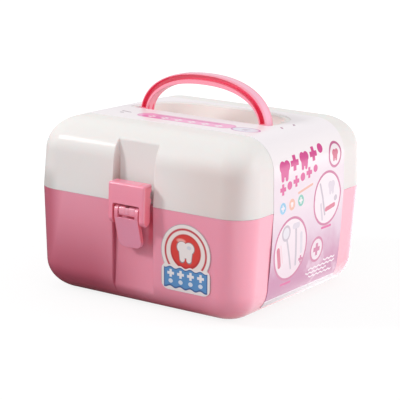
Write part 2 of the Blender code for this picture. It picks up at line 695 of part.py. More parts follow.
def sleeve_end(offset):
    """(x, z) points up the lid's end and round its top edge."""
    centre_z = CASE_HEIGHT - TOP_FILLET
    centre = (CASE_WIDTH / 2 - wall_inset(centre_z) - TOP_FILLET, centre_z)
    foot = (CASE_WIDTH / 2 + offset, LID_RIM)
    return [foot] + arc(centre, TOP_FILLET + offset, 0, math.pi / 2, FILLET_STEPS + 2)


def build_sleeve(lid, card):
    outer = sleeve_end(SLEEVE_CLEARANCE + SLEEVE_THICKNESS)
    inner = sleeve_end(SLEEVE_CLEARANCE)
    outline = outer + [(-x, z) for x, z in outer[::-1]]
    outline += [(-x, z) for x, z in inner] + inner[::-1]
    band = prism(outline, ALONG_Y, SLEEVE_FRONT, SLEEVE_BACK)
    sleeve = add_piece("card_sleeve", band, card, (0, 0, CASE_HEIGHT), lid)
    hole = d_outline(
        WELL_HALF_WIDTH + SLEEVE_CUT_MARGIN, WELL_BACK + SLEEVE_CUT_MARGIN,
        WELL_FRONT - SLEEVE_CUT_FRONT_MARGIN, WELL_CORNER
    )
    above = CASE_HEIGHT + OVERRUN
    shape(sleeve, "DIFFERENCE", add_tool("sleeve_cut_out", prism(hole, ALONG_Z, WELL_FLOOR, above)))
    near = CASE_WIDTH / 2 + SLEEVE_CLEARANCE
    for side_name, side in HINGE_SIDES.items():
        low, high = sorted((side * near, side * (near + SLEEVE_THICKNESS)))
        panel = block_outline(low, high, SLEEVE_BOTTOM, BASE_RIM)
        flap = prism(panel, ALONG_Y, SLEEVE_FRONT, SLEEVE_BACK)
        add_piece(f"sleeve_flap_{side_name}", flap, card, (side * near, 0, PARTING_HEIGHT), sleeve)


# Sticker on the base's front: a round badge on a wide foot
STICKER_IN_FROM_END = 0.0565
STICKER_BELOW_PARTING = 0.0342
STICKER_X = CASE_WIDTH / 2 - STICKER_IN_FROM_END
STICKER_Z = PARTING_HEIGHT - STICKER_BELOW_PARTING
STICKER_RADIUS = 0.0248
STICKER_FOOT_HALF = 0.0246
STICKER_FOOT_DROP = 0.0345
STICKER_FOOT_HEIGHT = 0.0235
STICKER_FOOT_LOW = STICKER_Z - STICKER_FOOT_DROP
STICKER_FOOT_HIGH = STICKER_FOOT_LOW + STICKER_FOOT_HEIGHT
STICKER_FOOT_CORNER = 0.0070
STICKER_THICKNESS = 0.0003


def build_sticker(base, paper):
    """Bent over the base's own front profile, then trimmed to the badge's outline."""
    skin = edge_profile(0, BOTTOM_FILLET, 0)[1:] + [(0, BASE_RIM)]
    back = [(FRONT + inset - SEAT_GAP, z) for inset, z in skin]
    front = [(y - STICKER_THICKNESS, z) for y, z in back]
    left, right = STICKER_X - STICKER_RADIUS - OVERRUN, STICKER_X + STICKER_RADIUS + OVERRUN
    sheet = prism(back + front[::-1], ALONG_X, left, right)
    sticker = add_piece("front_sticker", sheet, paper, (STICKER_X, FRONT, STICKER_Z), base)
    disc = rod(
        ALONG_Y, (STICKER_X, STICKER_Z), STICKER_RADIUS, FRONT - OVERRUN, FRONT + OVERRUN,
        ROUND_STEPS + PIN_STEPS
    )
    badge = add_tool("badge_disc", disc)
    foot = rounded_outline(
        STICKER_FOOT_HALF, (STICKER_FOOT_HIGH - STICKER_FOOT_LOW) / 2, STICKER_FOOT_CORNER,
        (STICKER_X, (STICKER_FOOT_HIGH + STICKER_FOOT_LOW) / 2), 4
    )
    shape(badge, "UNION", add_tool("badge_foot", prism(foot, ALONG_Y, FRONT - OVERRUN, FRONT + OVERRUN)))
    shape(sticker, "INTERSECT", badge)


# Everything inside stands or lies on the tub's floor
FLOOR = CASE_WALL + SEAT_GAP

# Teeth model: two horseshoe gums with a moulded row of teeth each, hinged at the back
JAW_X = -0.0315
JAW_BACK = 0.0500
JAW_HALF_WIDTH = 0.0265
JAW_FRONT_DEPTH = 0.0320
JAW_LEG = 0.0240
GUM_WIDTH = 0.0130
GUM_HEIGHT = 0.0125
GUM_STEPS = 34
TOOTH_COUNT = 14
TOOTH_STEPS = 6
TOOTH_HEIGHT = 0.0080
TOOTH_THICKNESS = 0.0082
JAW_EAR_RADIUS = 0.0060
JAW_EAR_THICKNESS = 0.0046
JAW_AXLE_RADIUS = 0.0015
JAW_AXLE_IN = 0.0070
TOOTH_ROW_END = 0.0160
BITE_HEIGHT = FLOOR + GUM_HEIGHT + SEAT_GAP + TOOTH_HEIGHT + SEAT_GAP / 2
JAW_AXLE_Y = JAW_BACK - JAW_AXLE_IN

# Gum section as shares of its width and height, and how a tooth swells and pinches
GUM_WIDTH_SHARES = (-0.42, 0.42, 0.5, 0.46, 0.34, -0.34, -0.46, -0.5)
GUM_HEIGHT_SHARES = (0, 0, 0.18, 0.7, 1, 1, 0.7, 0.18)
TOOTH_WIDTH_SHARES = (-0.48, 0.48, 0.5, 0.36, -0.36, -0.5)
TOOTH_HEIGHT_SHARES = (0, 0, 0.5, 1, 1, 0.5)
PINCH_WIDTH_SHARE = 0.62
PINCH_HEIGHT_SHARE = 0.74
MOLAR_GROWTH_SHARE = 0.28


def horseshoe(start, end, steps):
    """Evenly spaced (x, y, outward x, outward y) along the dental arch, as shares of its length."""
    fine = 240
    curve = []
    quarter = math.pi / 2
    leg_share = JAW_LEG / (2 * JAW_LEG + quarter * (JAW_HALF_WIDTH + JAW_FRONT_DEPTH))
    for step in range(fine + 1):
        share = step / fine
        if share < leg_share:
            curve.append(Vector((-JAW_HALF_WIDTH, JAW_LEG * (1 - share / leg_share), 0)))
        elif share > 1 - leg_share:
            curve.append(Vector((JAW_HALF_WIDTH, JAW_LEG * (1 - (1 - share) / leg_share), 0)))
        else:
            turn = math.pi * (share - leg_share) / (1 - 2 * leg_share)
            place = (-JAW_HALF_WIDTH * math.cos(turn), -JAW_FRONT_DEPTH * math.sin(turn), 0)
            curve.append(Vector(place))
    lengths = [0]
    for before, after in zip(curve, curve[1:]):
        lengths.append(lengths[-1] + (after - before).length)
    stations = []
    index = 1
    for step in range(steps + 1):
        target = lengths[-1] * (start + (end - start) * step / steps)
        while index < fine and lengths[index] < target:
            index += 1
        run = curve[index] - curve[index - 1]
        part = (target - lengths[index - 1]) / run.length
        point = curve[index - 1] + run * part
        run.normalize()
        stations.append((JAW_X + point.x, JAW_BACK - JAW_LEG + point.y, run.y, -run.x))
    return stations


def arch_solid(stations, sections, base_z, up):
    """Carries (outward, rise) sections along the dental arch, standing up or hanging down."""
    rings = []
    for (x, y, out_x, out_y), section in zip(stations, sections):
        rings.append([(x + out_x * w, y + out_y * w, base_z + up * h) for w, h in section])
    return loft(rings)


def gum_sections(stations):
    section = [(GUM_WIDTH * w, GUM_HEIGHT * h) for w, h in zip(GUM_WIDTH_SHARES, GUM_HEIGHT_SHARES)]
    return [section] * len(stations)


def tooth_sections(stations):
    """Each tooth swells at its middle and pinches at its neighbours; molars are thicker."""
    sections = []
    for index in range(len(stations)):
        phase = (index % TOOTH_STEPS) / TOOTH_STEPS
        swell = math.sqrt(math.sin(math.pi * phase))
        back = abs(2 * index / (len(stations) - 1) - 1)
        width = TOOTH_THICKNESS * (PINCH_WIDTH_SHARE + (1 - PINCH_WIDTH_SHARE) * swell)
        width *= 1 + MOLAR_GROWTH_SHARE * (back - 1)
        height = TOOTH_HEIGHT * (PINCH_HEIGHT_SHARE + (1 - PINCH_HEIGHT_SHARE) * swell)
        section = zip(TOOTH_WIDTH_SHARES, TOOTH_HEIGHT_SHARES)
        sections.append([(width * w, height * h) for w, h in section])
    return sections


def jaw_ear(side, near, far, gum_z, up):
    """(y, z) ear from a gum's back end to the axle, pushed between two distances from the middle."""
    axle = (JAW_AXLE_Y, BITE_HEIGHT)
    start = 0 if up > 0 else math.pi
    top = arc(axle, JAW_EAR_RADIUS, start, start + math.pi, PIN_STEPS // 2)
    foot = [(y, gum_z + up * GUM_HEIGHT / 2) for y, z in (top[-1], top[0])]
    low, high = sorted((JAW_X + side * near, JAW_X + side * far))
    return prism(top + foot, ALONG_X, low, high)


def build_teeth_model(base, gum_red, enamel, steel):
    arch_length = 2 * JAW_LEG + math.pi / 2 * (JAW_HALF_WIDTH + JAW_FRONT_DEPTH)
    skip_share = TOOTH_ROW_END / arch_length
    gum_line = horseshoe(0, 1, GUM_STEPS)
    tooth_line = horseshoe(skip_share, 1 - skip_share, TOOTH_COUNT * TOOTH_STEPS)
    origin = (JAW_X, JAW_AXLE_Y, BITE_HEIGHT)
    ear_edge = JAW_HALF_WIDTH
    ear_out = (ear_edge + RUNNING_GAP / 2, ear_edge + RUNNING_GAP / 2 + JAW_EAR_THICKNESS)
    ear_in = (ear_edge - RUNNING_GAP / 2 - JAW_EAR_THICKNESS, ear_edge - RUNNING_GAP / 2)
    upper_gum_z = 2 * BITE_HEIGHT - FLOOR
    halves = (("lower", FLOOR, 1, ear_out), ("upper", upper_gum_z, -1, ear_in))
    for half_name, gum_z, up, ear in halves:
        gum_mesh = arch_solid(gum_line, gum_sections(gum_line), gum_z, up)
        gum = add_piece(f"{half_name}_gum", gum_mesh, gum_red, origin, base)
        teeth_z = gum_z + up * (GUM_HEIGHT + SEAT_GAP)
        teeth_mesh = arch_solid(tooth_line, tooth_sections(tooth_line), teeth_z, up)
        add_piece(f"{half_name}_teeth", teeth_mesh, enamel, origin, gum)
        for side_name, side in HINGE_SIDES.items():
            tool = add_tool(f"{half_name}_ear_{side_name}", jaw_ear(side, *ear, gum_z, up))
            shape(gum, "UNION", tool)
        reach = JAW_HALF_WIDTH + GUM_WIDTH
        hole = pin_hole(
            f"{half_name}_axle_hole", ALONG_X, (JAW_AXLE_Y, BITE_HEIGHT), JAW_AXLE_RADIUS,
            JAW_X - reach, JAW_X + reach
        )
        shape(gum, "DIFFERENCE", hole)
    half_length = JAW_HALF_WIDTH + JAW_EAR_THICKNESS
    axle = rod(
        ALONG_X, (JAW_AXLE_Y, BITE_HEIGHT), JAW_AXLE_RADIUS, JAW_X - half_length, JAW_X + half_length
    )
    add_piece("jaw_axle", axle, steel, origin, base)


# Syringe: barrel with a finger flange, plunger and rubber seal, lying along X
SYRINGE_Y = -0.0320
SYRINGE_TIP_X = -0.0740
BARREL_LENGTH = 0.0640
BARREL_RADIUS = 0.0085
BARREL_BORE = 0.0068
FLANGE_RADIUS = 0.0110
FLANGE_THICKNESS = 0.0022
NOZZLE_LENGTH = 0.0110
NOZZLE_RADIUS = 0.0022
BARREL_END_WALL = 0.0024
PLUNGER_TRAVEL = 0.0260
PLUNGER_ROD_RADIUS = 0.0032
PLUNGER_DISC_RADIUS = 0.0060
PLUNGER_DISC = 0.0018
THUMB_RADIUS = 0.0090
THUMB_THICKNESS = 0.0026
SEAL_LENGTH = 0.0062
SEAL_STOP = 0.0010
SYRINGE_Z = FLOOR + FLANGE_RADIUS


def build_syringe(base, clear, colour, rubber):
    centre = (SYRINGE_Y, SYRINGE_Z)
    tip = SYRINGE_TIP_X
    shoulder = tip + NOZZLE_LENGTH
    mouth = shoulder + BARREL_LENGTH
    bore_end = shoulder + BARREL_END_WALL
    barrel_profile = [
        (0, tip), (NOZZLE_RADIUS, tip), (NOZZLE_RADIUS, shoulder - NOZZLE_RADIUS),
        (BARREL_RADIUS - BARREL_END_WALL, shoulder), (BARREL_RADIUS, shoulder + BARREL_END_WALL),
        (BARREL_RADIUS, mouth - FLANGE_THICKNESS), (FLANGE_RADIUS, mouth - FLANGE_THICKNESS),
        (FLANGE_RADIUS, mouth), (BARREL_BORE, mouth), (BARREL_BORE, bore_end), (0, bore_end),
    ]
    barrel = lathe(barrel_profile, ALONG_X, centre)
    add_piece("syringe_barrel", barrel, clear, (tip, *centre), base)

    seal_front = bore_end + SEAL_STOP + PLUNGER_TRAVEL
    seal_back = seal_front + SEAL_LENGTH
    seal_radius = BARREL_BORE - SEAT_GAP
    lip = SEAL_LENGTH / 3
    seal_profile = [
        (0, seal_front), (seal_radius - lip / 2, seal_front), (seal_radius, seal_front + lip / 2),
        (seal_radius, seal_front + lip), (PLUNGER_DISC_RADIUS, seal_front + lip * 1.4),
        (PLUNGER_DISC_RADIUS, seal_back - lip / 2), (seal_radius, seal_back - lip / 4),
        (seal_radius, seal_back), (0, seal_back),
    ]
    rod_start = seal_back + SEAT_GAP
    thumb_front = mouth + PLUNGER_TRAVEL + RUNNING_GAP
    plunger_profile = [
        (0, rod_start), (PLUNGER_DISC_RADIUS, rod_start), (PLUNGER_DISC_RADIUS, rod_start + PLUNGER_DISC),
        (PLUNGER_ROD_RADIUS, rod_start + PLUNGER_DISC), (PLUNGER_ROD_RADIUS, thumb_front),
        (THUMB_RADIUS, thumb_front), (THUMB_RADIUS, thumb_front + THUMB_THICKNESS),
        (0, thumb_front + THUMB_THICKNESS),
    ]
    plunger = lathe(plunger_profile, ALONG_X, centre)
    plunger_obj = add_piece("syringe_plunger", plunger, colour, (thumb_front, *centre), base)
    seal = lathe(seal_profile, ALONG_X, centre)
    add_piece("plunger_seal", seal, rubber, (seal_front, *centre), plunger_obj)


# Toothbrush: a flat moulded handle with three rows of tufts, lying along X
BRUSH_Y = -0.0575
BRUSH_LENGTH = 0.1200
BRUSH_END_X = -BRUSH_LENGTH / 2
BRUSH_WIDTH = 0.0120
BRUSH_THICKNESS = 0.0055
BRUSH_STATION_SHARES = (0, 0.03, 0.1, 0.34, 0.56, 0.72, 0.77, 0.8, 0.96, 0.99, 1)
BRUSH_WIDTH_SHARES = (0.4, 0.72, 1, 0.8, 0.92, 0.42, 0.5, 0.84, 0.84, 0.7, 0.4)
BRUSH_CORNER_SHARE = 0.36
TUFT_ROWS = 3
TUFT_COLUMNS = 7
TUFT_RADIUS = 0.0011
TUFT_HEIGHT = 0.0085
TUFT_PAD = 0.0006
TUFT_SIDES = 6
TUFT_FIELD_SHARES = (0.81, 0.955)
TUFT_ROW_SPREAD_SHARE = 0.27


def build_toothbrush(base, colour, bristle):
    rings = []
    middle_z = FLOOR + BRUSH_THICKNESS / 2
    for station, width in zip(BRUSH_STATION_SHARES, BRUSH_WIDTH_SHARES):
        x = BRUSH_END_X + BRUSH_LENGTH * station
        half = BRUSH_WIDTH * width / 2
        corner = BRUSH_THICKNESS * BRUSH_CORNER_SHARE
        outline = rounded_outline(half, BRUSH_THICKNESS / 2, corner, (BRUSH_Y, middle_z), 2)
        rings.append([(x, y, z) for y, z in outline])
    handle = add_piece("toothbrush", loft(rings), colour, (BRUSH_END_X, BRUSH_Y, middle_z), base)
    tufts = bmesh.new()
    foot = FLOOR + BRUSH_THICKNESS + SEAT_GAP
    first, last = (BRUSH_END_X + BRUSH_LENGTH * share for share in TUFT_FIELD_SHARES)
    spread = BRUSH_WIDTH * TUFT_ROW_SPREAD_SHARE
    for row in range(TUFT_ROWS):
        y = BRUSH_Y + (row - (TUFT_ROWS - 1) / 2) * spread
        for column in range(TUFT_COLUMNS):
            x = first + (last - first) * column / (TUFT_COLUMNS - 1)
            tuft = rod(ALONG_Z, (x, y), TUFT_RADIUS, foot + TUFT_PAD / 2, foot + TUFT_HEIGHT, TUFT_SIDES)
            part = bpy.data.meshes.new("tuft")
            tuft.to_mesh(part)
            tuft.free()
            tufts.from_mesh(part)
            bpy.data.meshes.remove(part)
    pad = rounded_outline(
        (last - first) / 2 + TUFT_RADIUS + TUFT_PAD, spread + TUFT_RADIUS + TUFT_PAD, TUFT_RADIUS,
        ((first + last) / 2, BRUSH_Y), 2
    )
    pad_mesh = prism(pad, ALONG_Z, foot, foot + TUFT_PAD)
    field = add_piece("brush_tufts", pad_mesh, bristle, (first, BRUSH_Y, foot), handle)
    shape(field, "UNION", add_tool("tuft_rods", tufts))


# Long instruments lie along Y
TOOL_FRONT_Y = BRUSH_Y + BRUSH_WIDTH / 2 + RUNNING_GAP
GRIP_RADIUS = 0.0030
NECK_RADIUS = 0.0014
GRIP_RADIUS_SHARES = (0.5, 0.92, 1, 0.86, 0.86, 1, 0.9, 0.48, 0.44)
GRIP_STATION_SHARES = (0, 0.02, 0.1, 0.3, 0.4, 0.55, 0.68, 0.78, 1)
TOOL_SIDES = 12

PROBE_IN_FROM_END = 0.0330
PROBE_X = CASE_WIDTH / 2 - PROBE_IN_FROM_END
PROBE_STEM = 0.0930

MIRROR_TO_PROBE = 0.0140
MIRROR_X = PROBE_X - MIRROR_TO_PROBE
MIRROR_STEM = 0.0910
MIRROR_FRAME_RADIUS = 0.0120
MIRROR_FRAME_HEIGHT = 0.0046
MIRROR_RADIUS = 0.0104
MIRROR_RECESS = 0.0016
MIRROR_THICKNESS = 0.0010
FRAME_EDGE = 0.0010

HOOK_RADIUS = 0.0070
HOOK_TURN = math.radians(135)
HOOK_STEPS = 7
HOOK_TIP_RADIUS = 0.0008


def stem_rings(x, length):
    """Rings of a turned grip that lies along Y on the floor."""
    rings = []
    for station, share in zip(GRIP_STATION_SHARES, GRIP_RADIUS_SHARES):
        y = TOOL_FRONT_Y + length * station
        circle = arc((x, FLOOR + GRIP_RADIUS), GRIP_RADIUS * share, 0, math.tau, TOOL_SIDES)[:-1]
        rings.append([placed(point, ALONG_Y, y) for point in circle])
    return rings


def build_mirror(base, colour, silver):
    stem = loft(stem_rings(MIRROR_X, MIRROR_STEM))
    origin = (MIRROR_X, TOOL_FRONT_Y, FLOOR + GRIP_RADIUS)
    handle = add_piece("mirror_handle", stem, colour, origin, base)
    centre = (MIRROR_X, TOOL_FRONT_Y + MIRROR_STEM + MIRROR_FRAME_RADIUS - NECK_RADIUS)
    low, high = FLOOR, FLOOR + MIRROR_FRAME_HEIGHT
    recess = MIRROR_RADIUS + SEAT_GAP
    profile = [
        (0, low), (MIRROR_FRAME_RADIUS - FRAME_EDGE, low), (MIRROR_FRAME_RADIUS, low + FRAME_EDGE),
        (MIRROR_FRAME_RADIUS, high), (recess, high), (recess, high - MIRROR_RECESS),
        (0, high - MIRROR_RECESS),
    ]
    shape(handle, "UNION", add_tool("mirror_frame", lathe(profile, ALONG_Z, centre)))
    bottom = high - MIRROR_RECESS + SEAT_GAP
    glass = rod(ALONG_Z, centre, MIRROR_RADIUS, bottom, bottom + MIRROR_THICKNESS, ROUND_STEPS)
    add_piece("mirror_disc", glass, silver, (*centre, bottom), handle)


def build_probe(base, colour):
    rings = stem_rings(PROBE_X, PROBE_STEM)
    end_y = TOOL_FRONT_Y + PROBE_STEM
    z = FLOOR + GRIP_RADIUS
    start = GRIP_RADIUS * GRIP_RADIUS_SHARES[-1]
    for step in range(1, HOOK_STEPS + 1):
        turn = HOOK_TURN * step / HOOK_STEPS
        radius = start + (HOOK_TIP_RADIUS - start) * step / HOOK_STEPS
        hook_x = PROBE_X + HOOK_RADIUS * (1 - math.cos(turn))
        middle = Vector((hook_x, end_y + HOOK_RADIUS * math.sin(turn), z))
        across = Vector((math.cos(turn), -math.sin(turn), 0))
        circle = arc((0, 0), radius, 0, math.tau, TOOL_SIDES)[:-1]
        rings.append([middle + across * side + Vector((0, 0, rise)) for side, rise in circle])
    add_piece("probe", loft(rings), colour, (PROBE_X, TOOL_FRONT_Y, z), base)


# Tooth forceps: two flat halves crossed on a rivet, lying half open beside the mirror
FORCEPS_TO_MIRROR = 0.0270
FORCEPS_X = MIRROR_X - FORCEPS_TO_MIRROR
FORCEPS_Y = 0.0340
FORCEPS_THICKNESS = 0.0040
FORCEPS_WIDTH = 0.0090
FORCEPS_GRIP = 0.0480
FORCEPS_BEAK = 0.0250
FORCEPS_SPREAD = 0.0110
FORCEPS_REST_TURN = math.radians(9)
RIVET_RADIUS = 0.0022
RIVET_HEAD_RADIUS = 0.0042
RIVET_HEAD_HEIGHT = 0.0014

# Centre line of one half as shares of its grip or beak and of its spread, grip end first
HALF_SIDE_SHARES = (-0.62, -1, -0.92, -0.45, 0, 0.3, 0.42, 0.2)
HALF_GRIP_SHARES = (-1, -0.82, -0.5, -0.2, 0)
HALF_BEAK_SHARES = (0.3, 0.62, 1)
HALF_WIDTH_SHARES = (0.55, 0.7, 0.72, 0.86, 1.2, 0.8, 0.62, 0.36)


def forceps_outline(mirrored, turn):
    """One half in plan: a tapering strip along its bent centre line, turned about the rivet."""
    alongs = [FORCEPS_GRIP * share for share in HALF_GRIP_SHARES]
    alongs += [FORCEPS_BEAK * share for share in HALF_BEAK_SHARES]
    line = [Vector((FORCEPS_SPREAD * s, a)) for s, a in zip(HALF_SIDE_SHARES, alongs)]
    left, right = [], []
    for index, point in enumerate(line):
        run = line[min(index + 1, len(line) - 1)] - line[max(index - 1, 0)]
        run.normalize()
        across = Vector((-run.y, run.x)) * FORCEPS_WIDTH * HALF_WIDTH_SHARES[index] / 2
        left.append(point + across)
        right.append(point - across)
    points = []
    for point in left + right[::-1]:
        x = -point.x if mirrored else point.x
        points.append((
            FORCEPS_X + x * math.cos(turn) - point.y * math.sin(turn),
            FORCEPS_Y + x * math.sin(turn) + point.y * math.cos(turn),
        ))
    return points


def build_forceps(base, colour, steel):
    centre = (FORCEPS_X, FORCEPS_Y)
    halves = (("lower", False, -FORCEPS_REST_TURN), ("upper", True, FORCEPS_REST_TURN))
    low = FLOOR
    for half_name, mirrored, turn in halves:
        outline = forceps_outline(mirrored, turn)
        mesh = prism(outline, ALONG_Z, low, low + FORCEPS_THICKNESS)
        half = add_piece(f"forceps_{half_name}_half", mesh, colour, (*centre, low), base)
        hole = pin_hole(
            f"rivet_hole_{half_name}", ALONG_Z, centre, RIVET_RADIUS, low - OVERRUN,
            low + FORCEPS_THICKNESS + OVERRUN
        )
        shape(half, "DIFFERENCE", hole)
        low += FORCEPS_THICKNESS + SEAT_GAP
    profile = [
        (0, FLOOR), (RIVET_RADIUS, FLOOR), (RIVET_RADIUS, low),
        (RIVET_HEAD_RADIUS, low), (RIVET_HEAD_RADIUS, low + RIVET_HEAD_HEIGHT / 2),
        (RIVET_RADIUS, low + RIVET_HEAD_HEIGHT), (0, low + RIVET_HEAD_HEIGHT),
    ]
    add_piece("forceps_rivet", lathe(profile, ALONG_Z, centre, PIN_STEPS), steel, (*centre, FLOOR), base)


def build_kit():
    clear_objects()
    base_pink = finish("base_pink", (0.74, 0.28, 0.37), 0.28)
    lid_ivory = finish("lid_ivory", (0.87, 0.84, 0.80), 0.26)
    latch_pink = finish("latch_pink", (0.83, 0.22, 0.34), 0.26)
    handle_pink = finish("handle_pink", (0.90, 0.24, 0.36), 0.28)
    steel = finish("pin_steel", (0.62, 0.62, 0.64), 0.35, 1.0)
    card = finish("sleeve_card", (0.88, 0.80, 0.90), 0.32)
    paper = finish("sticker_paper", (0.90, 0.88, 0.88), 0.35)
    gum_red = finish("gum_red", (0.72, 0.10, 0.14), 0.30)
    enamel = finish("tooth_white", (0.90, 0.89, 0.85), 0.22)
    clear = finish("syringe_clear", (0.80, 0.86, 0.90), 0.12)
    toy_blue = finish("toy_blue", (0.22, 0.50, 0.76), 0.30)
    toy_pink = finish("toy_pink", (0.88, 0.34, 0.50), 0.30)
    rubber = finish("seal_rubber", (0.10, 0.10, 0.11), 0.60)
    silver = finish("mirror_silver", (0.86, 0.87, 0.88), 0.06, 1.0)
    toy_grey = finish("toy_grey", (0.66, 0.68, 0.71), 0.32)

    base = build_base(base_pink)
    lid = build_lid(lid_ivory)
    build_hinge_pins(base, steel)
    build_handle(lid, handle_pink)
    lever = build_lever(base, latch_pink)
    build_link(lever, latch_pink)
    build_lever_pin(base, steel)
    build_sleeve(lid, card)
    build_sticker(base, paper)
    build_teeth_model(base, gum_red, enamel, steel)
    build_syringe(base, clear, toy_pink, rubber)
    build_toothbrush(base, toy_blue, enamel)
    build_mirror(base, toy_grey, silver)
    build_probe(base, toy_grey)
    build_forceps(base, toy_grey, steel)


build_kit()
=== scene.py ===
import math

import bmesh
import bpy
from mathutils import Matrix, Vector


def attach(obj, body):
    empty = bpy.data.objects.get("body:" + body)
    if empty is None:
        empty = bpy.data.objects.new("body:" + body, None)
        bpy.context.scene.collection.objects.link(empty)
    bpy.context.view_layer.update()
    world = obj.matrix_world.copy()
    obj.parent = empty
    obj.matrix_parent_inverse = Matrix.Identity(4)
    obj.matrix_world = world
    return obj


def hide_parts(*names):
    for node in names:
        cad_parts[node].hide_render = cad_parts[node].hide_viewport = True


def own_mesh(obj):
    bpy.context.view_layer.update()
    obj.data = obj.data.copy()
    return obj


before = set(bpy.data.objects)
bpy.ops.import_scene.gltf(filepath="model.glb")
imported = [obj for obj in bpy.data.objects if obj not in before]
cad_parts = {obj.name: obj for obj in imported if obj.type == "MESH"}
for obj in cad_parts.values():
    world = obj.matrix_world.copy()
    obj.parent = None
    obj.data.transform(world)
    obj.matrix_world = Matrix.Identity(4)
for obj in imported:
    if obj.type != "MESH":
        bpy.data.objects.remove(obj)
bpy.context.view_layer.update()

# The viewpoint: a long lens on a tripod off the case's right front corner, a little above its lid.
# The photograph's own tilt is kept, so that its edges run as they do there.
VIEWPOINT = (0.7478, -1.15478, 0.39051)
YAW, PITCH, ROLL = (math.radians(turn) for turn in (33.028, 12.845, 1.811))
LENS_LENGTH, FILM_WIDTH = 140.92, 36

forward = Vector((-math.sin(YAW) * math.cos(PITCH), math.cos(YAW) * math.cos(PITCH), -math.sin(PITCH)))
level = Vector((math.cos(YAW), math.sin(YAW), 0))
upright = level.cross(forward)
right = math.cos(ROLL) * level + math.sin(ROLL) * upright
up = math.cos(ROLL) * upright - math.sin(ROLL) * level
camera = bpy.data.objects.new("camera", bpy.data.cameras.new("camera"))
camera.matrix_world = (
    Matrix.Translation(VIEWPOINT) @ Matrix((right, up, -forward)).transposed().to_4x4()
)
camera.data.lens = LENS_LENGTH
camera.data.sensor_width = FILM_WIDTH
camera.data.clip_start = 0.01
bpy.context.scene.collection.objects.link(camera)
bpy.context.scene.camera = camera
bpy.context.scene.view_settings.view_transform = "Standard"


# The table and the room: a white table that stays white behind the case, under a small hard lamp high
# at the left front and a soft box behind on the right. The table throws less light back at its left
# than at its right, and it glows as painted reflections in the case's gloss alone: two pale patches,
# one at the right and one at the left front.
TABLE_HALF = 5.0
TABLE_TOP = -0.0004
TABLE_WHITE, TABLE_RISE = 1.07, 0.19
WALLS_LIGHT = 0.74
RIGHT_REFLECTION_GLOW, LEFT_REFLECTION_GLOW, EVEN_REFLECTION_GLOW = 2.6, 1.6, 0.06


class Wire:
    """One socket of a shader, so that a finish can be written as sums and products."""

    def __init__(self, tree, socket=None):
        self.tree = tree
        self.socket = socket

    def node(self, kind, settings=None, inputs=None, output=0):
        made = self.tree.nodes.new("ShaderNode" + kind)
        for name, value in (settings or {}).items():
            setattr(made, name, value)
        for name, value in (inputs or {}).items():
            if isinstance(value, Wire):
                self.tree.links.new(value.socket, made.inputs[name])
            else:
                made.inputs[name].default_value = value
        return Wire(self.tree, made.outputs[output])

    def math(self, operation, *others):
        return self.node("Math", {"operation": operation}, dict(enumerate((self, *others))))

    def __add__(self, other):
        return self.math("ADD", other)

    def __sub__(self, other):
        return self.math("SUBTRACT", other)

    def __rsub__(self, other):
        return self * -1 + other

    def __mul__(self, other):
        return self.math("MULTIPLY", other)

    def __truediv__(self, other):
        return self.math("DIVIDE", other)

    def __pow__(self, other):
        return self.math("POWER", other)

    def __abs__(self):
        return self.math("ABSOLUTE")

    __radd__ = __add__
    __rmul__ = __mul__


def start_finish(name):
    """A new material, and the place on its object that each of its patterns starts from."""
    material = bpy.data.materials.new(name)
    material.use_nodes = True
    material.node_tree.nodes.clear()
    return material, Wire(material.node_tree).node("TexCoord", output="Object")


def surfaced(owner, surface, kind="Material"):
    """Ends a material's or the room's shader with its surface."""
    end = owner.node_tree.nodes.new("ShaderNodeOutput" + kind)
    owner.node_tree.links.new(surface.socket, end.inputs["Surface"])
    return owner


def split(place, axes="XYZ"):
    """The coordinates of a place, each as a number."""
    return [place.node("SeparateXYZ", inputs={0: place}, output=axis) for axis in axes]


def ramp(value, low, high, ease="SMOOTHSTEP"):
    """0 to 1 as value goes from low to high, eased at both ends."""
    return value.node(
        "MapRange", {"interpolation_type": ease}, {"Value": value, "From Min": low, "From Max": high}
    )


def grey(value):
    """A number as a grey."""
    return value.node("CombineColor", inputs={0: value, 1: value, 2: value})


def tint(paint, mask, colour):
    """Lays a colour over a paint where the mask is 1."""
    return mask.node("Mix", {"data_type": "RGBA"}, {0: mask, 6: paint, 7: (*colour, 1)}, 2)


white_room = bpy.data.worlds.new("white_room")
bpy.context.scene.world = white_room
white_room.use_nodes = True
white_room.node_tree.nodes.clear()
room = Wire(white_room.node_tree)
seen = room.node("LightPath", output="Is Camera Ray") + room.node("LightPath", output="Is Transmission Ray")
walls = room.node("Background", inputs={"Color": (1, 0.985, 0.98, 1), "Strength": WALLS_LIGHT})
backdrop = room.node("Background", inputs={"Color": (1, 1, 1, 1), "Strength": 1})
surfaced(white_room, room.node("MixShader", inputs={0: seen, 1: walls, 2: backdrop}), "World")

white_table, spot_on_table = start_finish("white_table")
direct = spot_on_table.node("LightPath", output="Is Camera Ray")
mirrored = spot_on_table.node("LightPath", output="Is Glossy Ray")
table_x, table_y = split(spot_on_table, "XY")
spread = spot_on_table.node("VectorMath", {"operation": "LENGTH"}, {0: spot_on_table}, 1)
paper = tint((0.20, 0.13, 0.145, 1), ramp(table_x, -0.04, 0.20, "LINEAR"), (0.82, 0.70, 0.73))
painted = direct.node("BsdfDiffuse", inputs={"Color": tint(paper, direct, (0.8, 0.8, 0.8))})
washed = grey(ramp(spread, 0.25, 0.8) * TABLE_RISE + TABLE_WHITE)
glowing = direct.node("Emission", inputs={"Color": washed})
# Painted reflections: the table glows only for rays reflected off the case's gloss, brightest at the right
# and at the left front.
right_reflection_glow = ramp(table_x + table_y * 0.46, 0.0, 0.14) * RIGHT_REFLECTION_GLOW
left_reflection_glow = ramp(table_y, -0.40, -0.60) * ramp(table_x, 0.0, -0.20) * LEFT_REFLECTION_GLOW
painted_reflection = direct.node("Emission", inputs={"Color": grey(right_reflection_glow + left_reflection_glow + EVEN_REFLECTION_GLOW)})
painted = direct.node("MixShader", inputs={0: mirrored, 1: painted, 2: painted_reflection})
surfaced(white_table, direct.node("MixShader", inputs={0: direct * 0.8, 1: painted, 2: glowing}))

